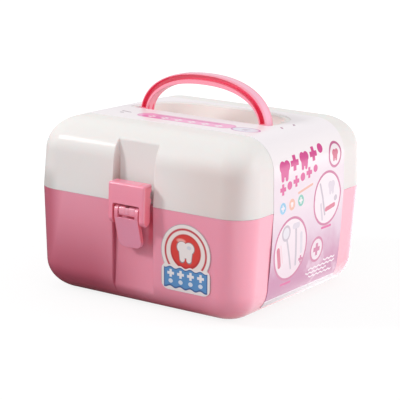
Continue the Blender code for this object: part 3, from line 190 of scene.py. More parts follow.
table = bpy.data.objects.new("table", bpy.data.meshes.new("table"))
table.data.from_pydata(
    [(x * TABLE_HALF, y * TABLE_HALF, TABLE_TOP) for x, y in ((-1, -1), (1, -1), (1, 1), (-1, 1))],
    [], [(0, 1, 2, 3)],
)
table.data.materials.append(white_table)
bpy.context.scene.collection.objects.link(table)


def lamp(name, place, target, size, power):
    """A round soft lamp at a place, turned to a target."""
    data = bpy.data.lights.new(name, "AREA")
    data.shape = "DISK"
    data.size = size
    data.energy = power
    holder = bpy.data.objects.new(name, data)
    holder.location = place
    holder.rotation_euler = (Vector(target) - Vector(place)).to_track_quat("-Z", "Y").to_euler()
    bpy.context.scene.collection.objects.link(holder)


lamp("left_key", (-1.11, -1.07, 1.00), (0, 0, 0.08), size=0.33, power=12.5)
lamp("right_box", (1.68, 0.78, 0.82), (0.05, 0, 0.08), size=1.1, power=11)


# Base tub: the lower half of the case, one thick-walled injection moulding in glossy pink plastic,
# with draft on its walls, big round edges, a shallow channel for the latch and a standing rim lip.
CASE_WIDTH = 0.2200
CASE_DEPTH = 0.2143
CASE_HEIGHT = 0.1546
PARTING = 0.0922
PLAN_CORNER = 0.0258
CORNER_SHRINK = 0.62
CORNER_STEPS = 12
BOTTOM_ROUND = 0.0267
DRAFT = 0.045
WALL = 0.0026
SEAM = 0.00006
CHANNEL_LEFT = -0.0226
CHANNEL_RIGHT = 0.0196
CHANNEL_LIP = 0.0009
CHANNEL_CREASE = 0.0005
CHANNEL_DRAFT = 0.0004
SHALLOW_SHARE = 0.42
BASE_CHANNEL_FLOOR = -0.10195
LID_CHANNEL_FLOOR = -0.09825
LIP_CHANNEL_FLOOR = LID_CHANNEL_FLOOR + 0.0049
LIP_CHANNEL_WIDEN = 0.0040
RIM_EDGE = ((0, 0.0002), (0.00006, 0.00006), (0.0002, 0))
RIM_LIP_INSET = 0.00135
RIM_LIP_RISE = 0.0030
RIM_LIP_EASE = 0.0003


def quarter(steps):
    """Angles from 0 to a quarter turn, both ends included."""
    return [math.pi / 2 * step / steps for step in range(steps + 1)]


def arc(middle, radius, start, end, steps):
    """Points on a circle from one angle in degrees to another, both ends included."""
    turns = [math.radians(start + (end - start) * step / steps) for step in range(steps + 1)]
    return [(middle[0] + radius * math.cos(a), middle[1] + radius * math.sin(a)) for a in turns]


def channel_side(depth):
    """(distance in from the channel's edge, depth) from the face round the lip to the floor."""
    lip, crease = (min(size, depth * SHALLOW_SHARE) for size in (CHANNEL_LIP, CHANNEL_CREASE))
    over = [(CHANNEL_LIP * (math.sin(turn) - 1), lip * (1 - math.cos(turn))) for turn in quarter(5)]
    return over + [
        (CHANNEL_DRAFT + CHANNEL_CREASE * (1 - math.cos(turn)), depth - crease * (1 - math.sin(turn)))
        for turn in quarter(5)
    ]


def case_ring(inset, z, channel_floor, widen=0.0):
    """The case in plan at one height: four round corners, and the channel in its front wall."""
    half_x, half_y = CASE_WIDTH / 2 - inset, CASE_DEPTH / 2 - inset
    corner = PLAN_CORNER - inset * CORNER_SHRINK
    ring = []
    for side, end, start in ((1, 1, 0), (-1, 1, 90), (-1, -1, 180)):
        middle = (side * (half_x - corner), end * (half_y - corner))
        ring += arc(middle, corner, start, start + 90, CORNER_STEPS)
    channel = channel_side(max(channel_floor + half_y, 1e-6))
    ring += [(CHANNEL_LEFT - widen + across, -half_y + into) for across, into in channel]
    ring += [(CHANNEL_RIGHT + widen - across, -half_y + into) for across, into in channel[::-1]]
    ring += arc((half_x - corner, corner - half_y), corner, 270, 360, CORNER_STEPS)
    return [(x, y, z) for x, y in ring]


def lay_skin(mesh, rings):
    """Faces between a stack of point rings; gives back the first and last loops of points."""
    loops = [[mesh.verts.new(point) for point in ring] for ring in rings]
    for lower, upper in zip(loops, loops[1:]):
        for index, corner in enumerate(lower):
            after = (index + 1) % len(lower)
            mesh.faces.new((corner, lower[after], upper[after], upper[index]))
    return loops[0], loops[-1]


def close_skin(mesh, rings):
    """The same, with a flat face on each end."""
    for loop in lay_skin(mesh, rings):
        mesh.faces.new(loop)


def wall_inset(z):
    """How far the drafted wall has drawn in at a height."""
    return abs(z - PARTING) * DRAFT


def round_edge(flat_z, radius, depth, steps):
    """(inset, z) from the flat at flat_z out round the edge to the wall; depth is how far inside."""
    towards = 1 if flat_z < PARTING else -1
    middle_z = flat_z + towards * radius
    middle = wall_inset(middle_z) + radius
    reach = radius - depth
    return [
        (middle - reach * math.sin(turn), middle_z - towards * reach * math.cos(turn))
        for turn in quarter(steps)
    ]


def wall_run(low, high, extra, steps=6):
    """(inset, z) points up a drafted wall, extra inside its face."""
    heights = [low + (high - low) * step / steps for step in range(1, steps)]
    return [(wall_inset(z) + extra, z) for z in heights]


def show(name, mesh, material, body, replaced=(), sharp=40):
    """Hangs a finished mesh on its body, shaded smooth with flat faces left flat."""
    bmesh.ops.recalc_face_normals(mesh, faces=mesh.faces)
    data = bpy.data.meshes.new(name)
    mesh.to_mesh(data)
    mesh.free()
    data.shade_smooth()
    data.set_sharp_from_angle(angle=math.radians(sharp))
    data.materials.append(material)
    piece = bpy.data.objects.new(name, data)
    bpy.context.scene.collection.objects.link(piece)
    weighted = piece.modifiers.new("flat_faces", "WEIGHTED_NORMAL")
    weighted.keep_sharp = True
    weighted.weight = 90
    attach(piece, body)
    if replaced:
        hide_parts(*replaced)
    return piece


def noise(place, scale, detail, roughness=0.5):
    """Cloudy noise round a half; a larger scale is finer."""
    inputs = {"Vector": place, "Scale": scale, "Detail": detail, "Roughness": roughness}
    return place.node("TexNoise", inputs=inputs)


def toned(paint, tone):
    """A paint made lighter or darker by a number."""
    mix = {"data_type": "RGBA", "blend_type": "MULTIPLY"}
    return tone.node("Mix", mix, {0: 1.0, 6: paint, 7: grey(tone)}, 2)


def dented(relief, strength, depth):
    """The fine unevenness of a surface, depth at its full height."""
    return relief.node("Bump", inputs={"Height": relief, "Strength": strength, "Distance": depth})


def moulded(
    name, colour, roughness=0.24, coat=0.35, mottle=0.02, painted_light_and_shade=(), glow=0.0, gloss=0.5, see_through=0.0
):
    """Injection-moulded plastic: cloudy pigment, faint sink and flow, fine grain, dull handling marks.

    Painted light and shade come as further colours, each with the mask that says where on the piece it lies.
    """
    material, place = start_finish(name)
    cloud, speck, sink = noise(place, 22.0, 4.0, 0.6), noise(place, 900.0, 2.0), noise(place, 11.0, 1.0)
    strokes = place.node("Mapping", inputs={"Vector": place, "Scale": (60.0, 60.0, 420.0)})
    rubbed = ramp(noise(strokes, 1.0, 5.0, 0.75), 0.60, 0.78, "LINEAR")
    tone = (cloud - 0.5) * (2 * mottle) + (speck - 0.5) * mottle + rubbed * (mottle * 0.4) + 1
    paint = (*colour, 1)
    for painted_colour, where in painted_light_and_shade:
        paint = tint(paint, where(place), painted_colour)
    relief = speck * 0.10 + cloud * 0.25 + sink * 1.2 + rubbed * 0.06
    return surfaced(material, place.node("BsdfPrincipled", inputs={
        "Base Color": toned(paint, tone),
        "Roughness": (cloud - 0.5) * 0.10 + rubbed * 0.12 + (speck - 0.5) * 0.04 + roughness,
        "Normal": dented(relief, 0.30, 0.0006),
        "Specular IOR Level": gloss, "Coat Weight": coat, "Coat Roughness": 0.12,
        "Subsurface Weight": glow, "Subsurface Radius": (1.0, 0.35, 0.30), "Subsurface Scale": 0.004,
        "Transmission Weight": see_through,
    }))


def painted_shade_low_left(place):
    """Painted shade: 1 at the foot of the base's left half, 0 at its rim and right of its middle; most on its
    corner.
    """
    x, y, z = split(place)
    foot = ramp(z, 0.094, -0.004) * (1 - ramp(x, -0.05, 0.025))
    return foot.math("MAXIMUM", ramp(x, -0.074, -0.093) * ramp(y, -0.055, -0.095) * 0.75)


def painted_underside_shade(place):
    """Painted shade, most along the base's foot, where the wall turns under."""
    return ramp(split(place, "Z")[0], 0.016, 0.002) * 0.8


def painted_latch_shadow(place):
    """Painted shadow of the lever, most on the channel's floor at its right, deep red where the two pinks
    light each other.
    """
    x, y, z = split(place)
    near = ramp(abs(x - 0.0155), 0.0050, 0.0010) * ramp(abs(z - 0.072), 0.020, 0.006)
    return near * ramp(abs(y - BASE_CHANNEL_FLOOR), 0.004, 0.002) * 0.7


def painted_crease_shade(place):
    """Painted shade, most in the corner where the channel's left wall meets its floor."""
    x, y, z = split(place)
    near = ramp(abs(x - CHANNEL_LEFT - CHANNEL_DRAFT - CHANNEL_CREASE), 0.0014, 0.0003)
    return near * ramp(y, -0.0950, -0.0970) * ramp(z, 0.150, 0.108) * ramp(z, 0.004, 0.020) * 0.8


# The base's pink has painted shade laid into it: darker low on its left half and front-left corner, deeper
# pink along its foot, and dark red down the channel's left crease and beside the lever.
base_pink = moulded("base_pink", (0.95, 0.375, 0.49), roughness=0.38, glow=0.25, painted_light_and_shade=(
    ((0.52, 0.09, 0.15), painted_shade_low_left), ((1.0, 0.24, 0.33), painted_underside_shade), ((0.50, 0.06, 0.12), painted_crease_shade),
    ((0.85, 0.10, 0.17), painted_latch_shadow),
))
base_rim = PARTING - SEAM
outer = round_edge(0, BOTTOM_ROUND, 0, 16) + wall_run(BOTTOM_ROUND, base_rim, 0)
outer += [(inset, base_rim - below) for inset, below in RIM_EDGE]
rings = [case_ring(inset, z, BASE_CHANNEL_FLOOR) for inset, z in outer]
lip_top = base_rim + RIM_LIP_RISE
rings += [
    case_ring(
        inset, z, LIP_CHANNEL_FLOOR + inset - RIM_LIP_INSET, LIP_CHANNEL_WIDEN + inset - RIM_LIP_INSET,
    )
    for inset, z in (
        (RIM_LIP_INSET, base_rim), (RIM_LIP_INSET, lip_top - RIM_LIP_EASE),
        (RIM_LIP_INSET + RIM_LIP_EASE, lip_top), (WALL - RIM_LIP_EASE, lip_top),
        (WALL, lip_top - RIM_LIP_EASE), (WALL, base_rim),
    )
]
inner = round_edge(0, BOTTOM_ROUND, WALL, 12)
inner += [(WALL + wall_inset(BOTTOM_ROUND) * 0.9, BOTTOM_ROUND + 0.012), (WALL, base_rim - 0.0045)]
back_floor = LID_CHANNEL_FLOOR + WALL
rings += [case_ring(inset, z, back_floor, WALL) for inset, z in inner[::-1]]
tub = bmesh.new()
close_skin(tub, rings)
show("base_shell", tub, base_pink, "base", ["base_tub"])


# Latch knuckle: a round bar on a neck that stands out of the base's channel floor, part of the base's
# moulding, with a gate notch in its top. The lever's ears straddle it and one steel pin runs through.
LEVER_PIVOT = (-0.1128, 0.0868)
KNUCKLE_RADIUS = 0.0043
KNUCKLE_HALF = 0.0085
KNUCKLE_FULLNESS = 3.2
KNUCKLE_EASE = 0.0007
NECK_HALF = 0.0030
GATE_HALF = 0.0016
GATE_DEPTH = 0.0013


def full_curve(turn, fullness):
    """(across, up) shares on a superellipse: 2 is a circle, more is squarer."""
    across = math.copysign(abs(math.cos(turn)) ** (2 / fullness), math.cos(turn))
    return across, max(math.sin(turn), 0) ** (2 / fullness)


def push(mesh, outline, low, high, axis, ease=0.0, steps=3):
    """Pushes a flat outline along X or Y, with its end edges rounded by ease."""
    stations = [(low, 0.0)]
    if ease:
        stations = [
            (low + ease * (1 - math.sin(turn)), ease * (1 - math.cos(turn))) for turn in quarter(steps)[::-1]
        ]
    stations += [(low + high - along, drawn) for along, drawn in stations[::-1]]
    close_skin(mesh, [
        [(along, a, b) if axis == "X" else (a, along, b) for a, b in draw_in(outline, drawn)]
        for along, drawn in stations
    ])


def draw_in(outline, distance):
    """An outline with its sides moved inwards by a distance."""
    if not distance:
        return outline
    area = sum(a[0] * b[1] - b[0] * a[1] for a, b in zip(outline, outline[1:] + outline[:1]))
    hand = 1 if area > 0 else -1
    moved = []
    for index, point in enumerate(outline):
        before = Vector(point) - Vector(outline[index - 1])
        after = Vector(outline[(index + 1) % len(outline)]) - Vector(point)
        before.normalize()
        after.normalize()
        inward = Vector((-before.y - after.y, before.x + after.x)) * hand
        inward.normalize()
        lean = max(inward.dot(Vector((-after.y, after.x)) * hand), 0.5)
        moved.append((point[0] + inward.x * distance / lean, point[1] + inward.y * distance / lean))
    return moved


knuckle_outline = [
    (LEVER_PIVOT[0] + KNUCKLE_RADIUS * across, LEVER_PIVOT[1] + KNUCKLE_RADIUS * rise)
    for across, rise in (full_curve(math.radians(turn), KNUCKLE_FULLNESS) for turn in range(180, 35, -6))
]
knuckle_outline += [(BASE_CHANNEL_FLOOR + 0.001, LEVER_PIVOT[1] + NECK_HALF)]
knuckle_outline += [(y, 2 * LEVER_PIVOT[1] - z) for y, z in knuckle_outline[:0:-1]]
knuckle = bmesh.new()
for low, high, lowered, ease in (
    (-KNUCKLE_HALF, -GATE_HALF, 0, KNUCKLE_EASE), (-GATE_HALF - 0.0001, GATE_HALF + 0.0001, GATE_DEPTH, 0),
    (GATE_HALF, KNUCKLE_HALF, 0, KNUCKLE_EASE),
):
    cap = LEVER_PIVOT[1] + KNUCKLE_RADIUS - lowered
    push(knuckle, [(y, min(z, cap)) for y, z in knuckle_outline], low, high, "X", ease)
show("latch_knuckle", knuckle, base_pink, "base")


# Lid: the upper half of the case, moulded in ivory with the same draft and round edges, its channel
# deeper than the base's, and a D-shaped well sunk in its top for the folded handle. A pocket inside
# its rim takes the base's standing lip.
TOP_ROUND = 0.0297
POCKET_INSET = 0.00105
POCKET_RISE = 0.0033
WELL_HALF = 0.0710
WELL_BACK = 0.0490
WELL_FRONT = -0.0095
WELL_CORNER = 0.004
WELL_FULLNESS = 2.8
WELL_DEPTH = 0.0160
WELL_DRAFT = 0.0003
WELL_RIM_ROUND = 0.0014
WELL_FLOOR_ROUND = 0.0035


def d_outline(half, back, front, grow=0.0):
    """The well in plan: a straight front with round corners and a full, flat-bellied back."""
    points = []
    for step in range(61):
        across, rise = full_curve(math.pi * step / 60, WELL_FULLNESS)
        points.append((half * across, back * rise))
    points += arc((WELL_CORNER - half, front + WELL_CORNER), WELL_CORNER, 180, 270, 5)
    points += arc((half - WELL_CORNER, front + WELL_CORNER), WELL_CORNER, 270, 360, 5)
    return draw_in(points, -grow)


def d_ring(grow, z):
    """The well's outline at a height."""
    return [(x, y, z) for x, y in d_outline(WELL_HALF, WELL_BACK, WELL_FRONT, grow)]


def painted_well_shade(place):
    """Painted shade, 1 on the well's walls and floor, which the light reaches only off other ivory faces."""
    x, y, z = split(place)
    inner = ramp(abs(x), WELL_HALF + 0.0010, WELL_HALF + 0.0004) * ramp(abs(y - 0.020), 0.0306, 0.0300)
    return inner * ramp(z, 0.1534, 0.1526)


def painted_shade_left_corner(place):
    """Painted shade, most low on the lid's left front corner."""
    x, y, z = split(place)
    return ramp(x, -0.080, -0.092) * ramp(y, -0.066, -0.088) * ramp(z, 0.114, 0.098) * 0.75


def painted_shade_right_corner(place):
    """Painted shade, 1 low on the lid's right front corner, easing to 0 across its front."""
    x, y, z = split(place)
    front = ramp(y, -0.080, -0.096) * ramp(z, 0.146, 0.124)
    return ramp(x, -0.010, 0.086) ** 2.0 * ramp(x, 0.1080, 0.0970) * front


# The lid's ivory has painted shade laid into it: down the channel's left crease, low on both front corners,
# and warmer inside the well.
lid_ivory = moulded(
    "lid_ivory", (0.86, 0.84, 0.82), roughness=0.5, coat=0.1, mottle=0.008, glow=0.2, gloss=0.3, painted_light_and_shade=(
        ((0.62, 0.42, 0.38), painted_crease_shade), ((0.58, 0.57, 0.55), painted_shade_left_corner),
        ((0.76, 0.69, 0.66), painted_shade_right_corner), ((0.93, 0.89, 0.86), painted_well_shade),
    ),
)
lid_rim = PARTING + SEAM
pocket_top = lid_rim + POCKET_RISE
inner = wall_run(pocket_top, CASE_HEIGHT - TOP_ROUND, WALL, 3)
inner += round_edge(CASE_HEIGHT, TOP_ROUND, WALL, 14)[::-1]
rings = [case_ring(inset, z, back_floor, WALL) for inset, z in inner[::-1]]
pocket = [(WALL, pocket_top), (POCKET_INSET, pocket_top), (POCKET_INSET, lid_rim)]
rings += [case_ring(inset, z, back_floor + inset - WALL, inset) for inset, z in pocket]
outer = [(inset, lid_rim + above) for inset, above in RIM_EDGE[::-1]]
outer += wall_run(lid_rim, CASE_HEIGHT - TOP_ROUND, 0) + round_edge(CASE_HEIGHT, TOP_ROUND, 0, 22)[::-1]
rings += [case_ring(inset, z, LID_CHANNEL_FLOOR) for inset, z in outer]
lid = bmesh.new()
under_edge, top_edge = lay_skin(lid, rings)

well_floor = CASE_HEIGHT - WELL_DEPTH
well_rings = [
    (WELL_RIM_ROUND * (1 - math.sin(turn)), CASE_HEIGHT - WELL_RIM_ROUND * (1 - math.cos(turn)))
    for turn in quarter(6)
]
well_rings += [
    (-WELL_DRAFT - WELL_FLOOR_ROUND * (1 - math.cos(turn)),
     well_floor + WELL_FLOOR_ROUND * (1 - math.sin(turn)))
    for turn in quarter(6)
]
well_mouth, well_bed = lay_skin(lid, [d_ring(grow, z) for grow, z in well_rings])
lid.faces.new(well_bed)
under_mouth, under_bed = lay_skin(lid, [
    d_ring(WALL, z) for z in (CASE_HEIGHT - WALL, well_floor + 0.004, well_floor - WALL)
])
lid.faces.new(under_bed)
for outside, inside in ((top_edge, well_mouth), (under_edge, under_mouth)):
    edges = [
        lid.edges.get((loop[index - 1], loop[index]))
        for loop in (outside, inside) for index in range(len(loop))
    ]
    bmesh.ops.triangle_fill(lid, use_beauty=True, use_dissolve=False, edges=edges)
show("lid_shell", lid, lid_ivory, "lid", ["lid"])


# Lid catch: a short rib with a six-sided section that stands across the lid's channel, part of the
# lid's moulding. The latch link hooks over it.
catch = bmesh.new()
catch_back = LID_CHANNEL_FLOOR + 0.001
push(catch, [
    (catch_back, 0.0988), (-0.1067, 0.1000), (-0.1079, 0.1012), (-0.1079, 0.1034), (-0.1067, 0.1046),
    (catch_back, 0.1058),
], -0.011, 0.011, "X", 0.0004)
show("lid_catch", catch, lid_ivory, "lid")


# The two rear hinges: knuckles moulded on webs just behind the case's back wall, one on the lid
# between two on the base, each set on its own steel pin.
HINGE = (0.11155, 0.0922)
HINGE_ROUND = 0.0040


def hinge_knuckle(mesh, way, low, high):
    """One knuckle with its web; way is up for the lid and down for the base."""
    start = 180 if way > 0 else 0
    curve = arc(HINGE, HINGE_ROUND, start, start + 180, 18)
    near = HINGE[1] + way * SEAM
    wall = CASE_DEPTH / 2 - 0.0013
    toe = [(wall, HINGE[1] + way * 0.0118), (wall, near)]
    back = (HINGE[0] + HINGE_ROUND, HINGE[1] + way * 0.0018)
    foot = (CASE_DEPTH / 2 - 0.0004, HINGE[1] + way * 0.0100)
    front = (HINGE[0] - HINGE_ROUND, near)
    if way > 0:
        outline = [front] + curve[1:] + [back, foot] + toe
    else:
        outline = curve[:-1] + [front] + toe[::-1] + [foot, back]
    push(mesh, outline, low, high, "X", 0.0003, 2)


lid_hinges, base_hinges = bmesh.new(), bmesh.new()
for middle in (-0.06, 0.06):
    hinge_knuckle(lid_hinges, 1, middle - 0.0096, middle + 0.0096)
    hinge_knuckle(base_hinges, -1, middle - 0.0180, middle - 0.0100)
    hinge_knuckle(base_hinges, -1, middle + 0.0100, middle + 0.0180)
show("lid_hinge_knuckles", lid_hinges, lid_ivory, "lid")
show("base_hinge_knuckles", base_hinges, base_pink, "base")


# Carry handle: a bail moulded in rose pink with an H section, its grooves running from foot to foot,
# round feet, collars and trunnions that turn in the well's side walls.
HANDLE_SPAN = 0.0670
HANDLE_RISE = 0.0447
HANDLE_RADIAL = 0.0070
HANDLE_HALF = 0.00625
OUTER_RIM = 0.0012
INNER_RIM = 0.0015
GRIP_SWELL = 0.0024
FULLNESS = 2.25
GROOVE = 0.0040
HANDLE_PIVOT_Z = 0.1471
GROOVE_START, GROOVE_RUN = 8.6, 0.8


def groove_side(rim, share, ease):
    """(distance in from the flange's outside, y) over one flange's rim and down into the groove."""
    edge = [
        (ease * (1 - math.cos(turn)), ease * (1 - math.sin(turn)) - HANDLE_HALF) for turn in quarter(4)
    ]
    return edge + [
        (rim - 0.0001, 0.0001 * share - HANDLE_HALF),
        (rim, 0.0004 * share - HANDLE_HALF), (rim + 0.0002, (GROOVE - 0.0004) * share - HANDLE_HALF),
        (rim + 0.0006, GROOVE * share - HANDLE_HALF),
    ]


def handle_section(share, swell):
    """(radial, y) round the bar; share is how far the grooves are cut, swell thickens the inside."""
    inside = groove_side(INNER_RIM, share, 0.0005)
    outside = groove_side(OUTER_RIM - 0.0003, share, 0.0004)
    half = [(0, -0.0018), (0.00045, -0.0029), (0.00045, -0.0042), (0, -0.0050)] + inside[:5]
    half = [(radial - swell, y) for radial, y in half] + inside[5:]
    half += [(HANDLE_RADIAL - 0.0003 - radial, y) for radial, y in outside[::-1]]
    half += [(HANDLE_RADIAL - 0.0003, -0.0042), (HANDLE_RADIAL, -0.0030), (HANDLE_RADIAL, -0.0010)]
    return half + [(radial, -y) for radial, y in half[::-1]]


def off_the_groove(place):
    """(distance outwards from the groove's middle line, y, z) at a place on the handle."""
    x, y, z = split(place)
    middle = HANDLE_RADIAL - (INNER_RIM + HANDLE_RADIAL - OUTER_RIM) / 2
    half_span, rise = HANDLE_SPAN - middle, HANDLE_RISE - middle
    across = (abs(x) / half_span) ** FULLNESS
    upward = ((z - HANDLE_PIVOT_Z).math("MAXIMUM", 0.0) / rise) ** FULLNESS
    return (across + upward - 1) / ((across / half_span + upward / rise) * FULLNESS), y, z


def painted_groove_shade(place):
    """Painted shade, 1 inside the handle's grooves, 0 on its flanges but for the inner one near the feet."""
    off, y, z = off_the_groove(place)
    inner = 0.0023 + ramp(z, HANDLE_PIVOT_Z + 0.026, HANDLE_PIVOT_Z + 0.006) * 0.0018
    between = ramp(off, 0.0023, 0.0019) * ramp(off + inner, 0.0, 0.0004)
    return between * ramp(abs(y), HANDLE_HALF, HANDLE_HALF - 0.0006)


def painted_light_on_crown(place):
    """Painted light, 1 on the handle's outer face."""
    return ramp(off_the_groove(place)[0], 0.0026, 0.0031)


# The handle's pink has painted shade in its grooves and a paler painted light on its outer face.
handle_pink = moulded("handle_pink", (0.98, 0.33, 0.43), roughness=0.3, painted_light_and_shade=(
    ((0.92, 0.075, 0.165), painted_groove_shade), ((1.0, 0.52, 0.68), painted_light_on_crown),
))
handle = bmesh.new()
rings = []
foot_turns = [0, 4, 7, 8.6, 9, 9.4, 10]
crown_turns = [10 + 160 * step / 84 for step in range(1, 84)]
for turn in foot_turns + crown_turns + [180 - turn for turn in foot_turns[::-1]]:
    share = min(max((min(turn, 180 - turn) - GROOVE_START) / GROOVE_RUN, 0), 1)
    across, rise = full_curve(math.radians(turn), FULLNESS)
    rings.append([
        ((HANDLE_SPAN - HANDLE_RADIAL + radial) * across, y,
         HANDLE_PIVOT_Z + (HANDLE_RISE - HANDLE_RADIAL + radial) * rise)
        for radial, y in handle_section(share, GRIP_SWELL * math.sin(math.radians(turn)) ** 2)
    ])
close_skin(handle, rings)
for side in (-1, 1):
    for radius, near, far, ease in (
        (HANDLE_HALF, 0.0603, 0.0670, 0.0005), (0.0042, 0.0612, 0.0706, 0.0003),
        (0.0022, 0.0615, 0.0730, 0.0002),
    ):
        low, high = sorted((side * near, side * far))
        push(handle, arc((0, HANDLE_PIVOT_Z), radius, 0, 360, 40)[:-1], low, high, "X", ease)
show("bail_handle", handle, handle_pink, "handle", ["carry_handle"])


# Latch link: a square hollow clip moulded in the same pink as the base, hung on the lever's stubs. Its
# cross-piece reaches over the parting line, and its two round-ended legs straddle the lever.
LATCH_HALF = 0.0190
LATCH_FRONT = -0.1185
LATCH_REAR = -0.1083
LATCH_BACK = -0.1068
LATCH_TOP = 0.1118
LINK_PIVOT = (-0.1120, 0.0806)
CUT_HALF = 0.0139
CUT_TOP = 0.0930
LINK_WALL = 0.0022
LINK_EASE = 0.0023
CUT_ROUND = 0.0017


def link_outline(cut_top=0):
    """(y, z) round the link seen from its end, or only what is above cut_top."""
    middle, half = (LATCH_FRONT + LATCH_REAR) / 2, (LATCH_REAR - LATCH_FRONT) / 2
    points = arc((LATCH_FRONT + 0.0021, LATCH_TOP - 0.0027), 0.0021, 90, 180, 6)
    points += [(LATCH_FRONT, 0.1035), (LATCH_FRONT, 0.0975), (LATCH_FRONT, 0.0936)]
    points += arc((middle, LINK_PIVOT[1]), half, 180, 360, 24)
    points += [(LATCH_REAR, 0.0936), (LATCH_BACK, 0.0975), (LATCH_BACK, 0.1035)]
    points += arc((LATCH_BACK - 0.0012, LATCH_TOP - 0.0012), 0.0012, 0, 90, 5)
    ease = 0.0005
    flat = []
    for y, z in points:
        over = max(abs(y - middle) - (half - ease), 0) / ease
        flat.append((y, max(z, cut_top + ease * (1 - math.sqrt(max(1 - over**2, 0))))))
    return flat


def cut_box(mesh, low, high):
    """Takes a plain box out of a closed mesh."""
    box = bmesh.new()
    bmesh.ops.create_cube(box, size=1)
    for vert in box.verts:
        vert.co = Vector([low[axis] + (high[axis] - low[axis]) * (vert.co[axis] + 0.5) for axis in range(3)])
    return cut_with(mesh, box)


def cut_with(mesh, tool):
    """Takes one closed mesh out of another."""
    parts = []
    for name, source in (("cut_target", mesh), ("cut_tool", tool)):
        bmesh.ops.recalc_face_normals(source, faces=source.faces)
        data = bpy.data.meshes.new(name)
        source.to_mesh(data)
        source.free()
        holder = bpy.data.objects.new(name, data)
        bpy.context.scene.collection.objects.link(holder)
        parts.append(holder)
    cut = parts[0].modifiers.new("cut", "BOOLEAN")
    cut.operation = "DIFFERENCE"
    cut.object = parts[1]
    bpy.context.view_layer.update()
    result = bmesh.new()
    result.from_object(parts[0], bpy.context.evaluated_depsgraph_get())
    for holder in parts:
        data = holder.data
        bpy.data.objects.remove(holder)
        bpy.data.meshes.remove(data)
    return result


def soften(piece, width, steps):
    """Rounds a piece's sharp edges."""
    softened = piece.modifiers.new("soft_edges", "BEVEL")
    softened.width = width
    softened.segments = steps
    softened.limit_method = "ANGLE"
    softened.angle_limit = math.radians(33)
    softened.use_clamp_overlap = True
    piece.modifiers.move(1, 0)
    return piece


def painted_light_tongue_front(place):
    """Painted light, 1 on the lever's leaning front, 0 elsewhere."""
    x, z = split(place, "XZ")
    return ramp(abs(x), 0.0119, 0.0112) * ramp(z, 0.0825, 0.0800)


def shaded_sides(place):
    """Painted shade, 1 on the latch's side faces and in its hollows, 0 on its fronts."""
    x, y = split(place, "XY")
    outer = ramp(abs(x), LATCH_HALF - 0.0006, LATCH_HALF - 0.0001)
    lever_side = ramp(abs(abs(x) - 0.0130), 0.0014, 0.0009)
    return outer.math("MAXIMUM", lever_side * ramp(y, LATCH_FRONT + 0.0008, LATCH_FRONT + 0.0020))


# The latch's pink has painted shade on its side faces and in its hollows, and a paler painted light on the
# lever's leaning front.
latch_pink = moulded("latch_pink", (0.97, 0.33, 0.45), roughness=0.34, glow=0.25, painted_light_and_shade=(
    ((1.0, 0.26, 0.34), shaded_sides), ((1.0, 0.41, 0.56), painted_light_tongue_front),
))
full = link_outline()
sides = [
    (LATCH_HALF - LINK_EASE * (1 - math.cos(turn)), draw_in(full, LINK_EASE * (1 - math.sin(turn))))
    for turn in quarter(5)
]
sides += [(CUT_HALF, full)]
for turn in quarter(5):
    sides.append((
        CUT_HALF - CUT_ROUND * (1 - math.cos(turn)) - 0.00001,
        link_outline(CUT_TOP - CUT_ROUND * (1 - math.sin(turn))),
    ))
link = bmesh.new()
close_skin(link, [
    [(across * side, y, z) for y, z in outline]
    for side, half in ((1, sides), (-1, sides[::-1])) for across, outline in half
])
link = cut_box(
    link, (LINK_WALL - LATCH_HALF, LATCH_FRONT + LINK_WALL, CUT_TOP + LINK_WALL),
    (LATCH_HALF - LINK_WALL, LATCH_REAR + 0.01, LATCH_TOP - LINK_WALL),
)
for side in (-1, 1):
    low, high = sorted((side * (LATCH_HALF - LINK_WALL), side * (LATCH_HALF + 0.01)))
    link = cut_box(link, (low, LATCH_BACK - 0.0030, 0.0992), (high, LATCH_BACK + 0.01, 0.1052))
clip = show("latch_clip", link, latch_pink, "link", ["latch_link"], sharp=33)
soften(clip, 0.0005, 3)


# Latch lever: a thumb tongue moulded in the same pink, with two round ears on the knuckle's pin, a
# window between them, a leaning plate with side walls behind, and a stub on each ear for the link.
LEVER_HALF = 0.0121
EAR_ROUND = 0.0052
EAR_INSIDE = 0.0089
LEVER_FOOT = 0.0548
FOOT_CORNER = 0.0060
SHOULDER = 0.0818
LEAN = 0.293
SIDE_DEPTH = 0.0040
PLATE = 0.0022
WINDOW_TOP = 0.0915

lever_front = LEVER_PIVOT[0] - EAR_ROUND
tip_front = lever_front + (SHOULDER - LEVER_FOOT) * LEAN
ease_z = SHOULDER - 0.0075
side_view = arc(LEVER_PIVOT, EAR_ROUND, 180, -60, 30)
side_view += [
    (lever_front + (SHOULDER - ease_z) * LEAN + SIDE_DEPTH, ease_z), (tip_front + SIDE_DEPTH, LEVER_FOOT),
    (tip_front, LEVER_FOOT), (lever_front, SHOULDER),
]
lever = bmesh.new()
push(lever, side_view, -LEVER_HALF, LEVER_HALF, "X")
lever = cut_box(lever, (-EAR_INSIDE, -0.13, LEVER_PIVOT[1] - 0.0053), (EAR_INSIDE, -0.10, 0.1))
hollow = bmesh.new()
push(hollow, [
    (lever_front + PLATE, WINDOW_TOP), (lever_front + PLATE, SHOULDER),
    (tip_front + PLATE * (1 - LEAN), LEVER_FOOT + PLATE), (-0.098, LEVER_FOOT + PLATE), (-0.098, WINDOW_TOP),
], -EAR_INSIDE, EAR_INSIDE, "X")
lever = cut_with(lever, hollow)
for side, start in ((-1, 180), (1, 360)):
    out_x, in_x = side * (LEVER_HALF + 0.001), side * (LEVER_HALF - 0.0065)
    foot = [(out_x, LEVER_FOOT - 0.001), (out_x, LEVER_FOOT + FOOT_CORNER)]
    foot += arc((in_x, LEVER_FOOT + FOOT_CORNER), FOOT_CORNER, start, 270, 10) + [(in_x, LEVER_FOOT - 0.001)]
    corner = bmesh.new()
    push(corner, foot, -0.13, -0.09, "Y")
    lever = cut_with(lever, corner)
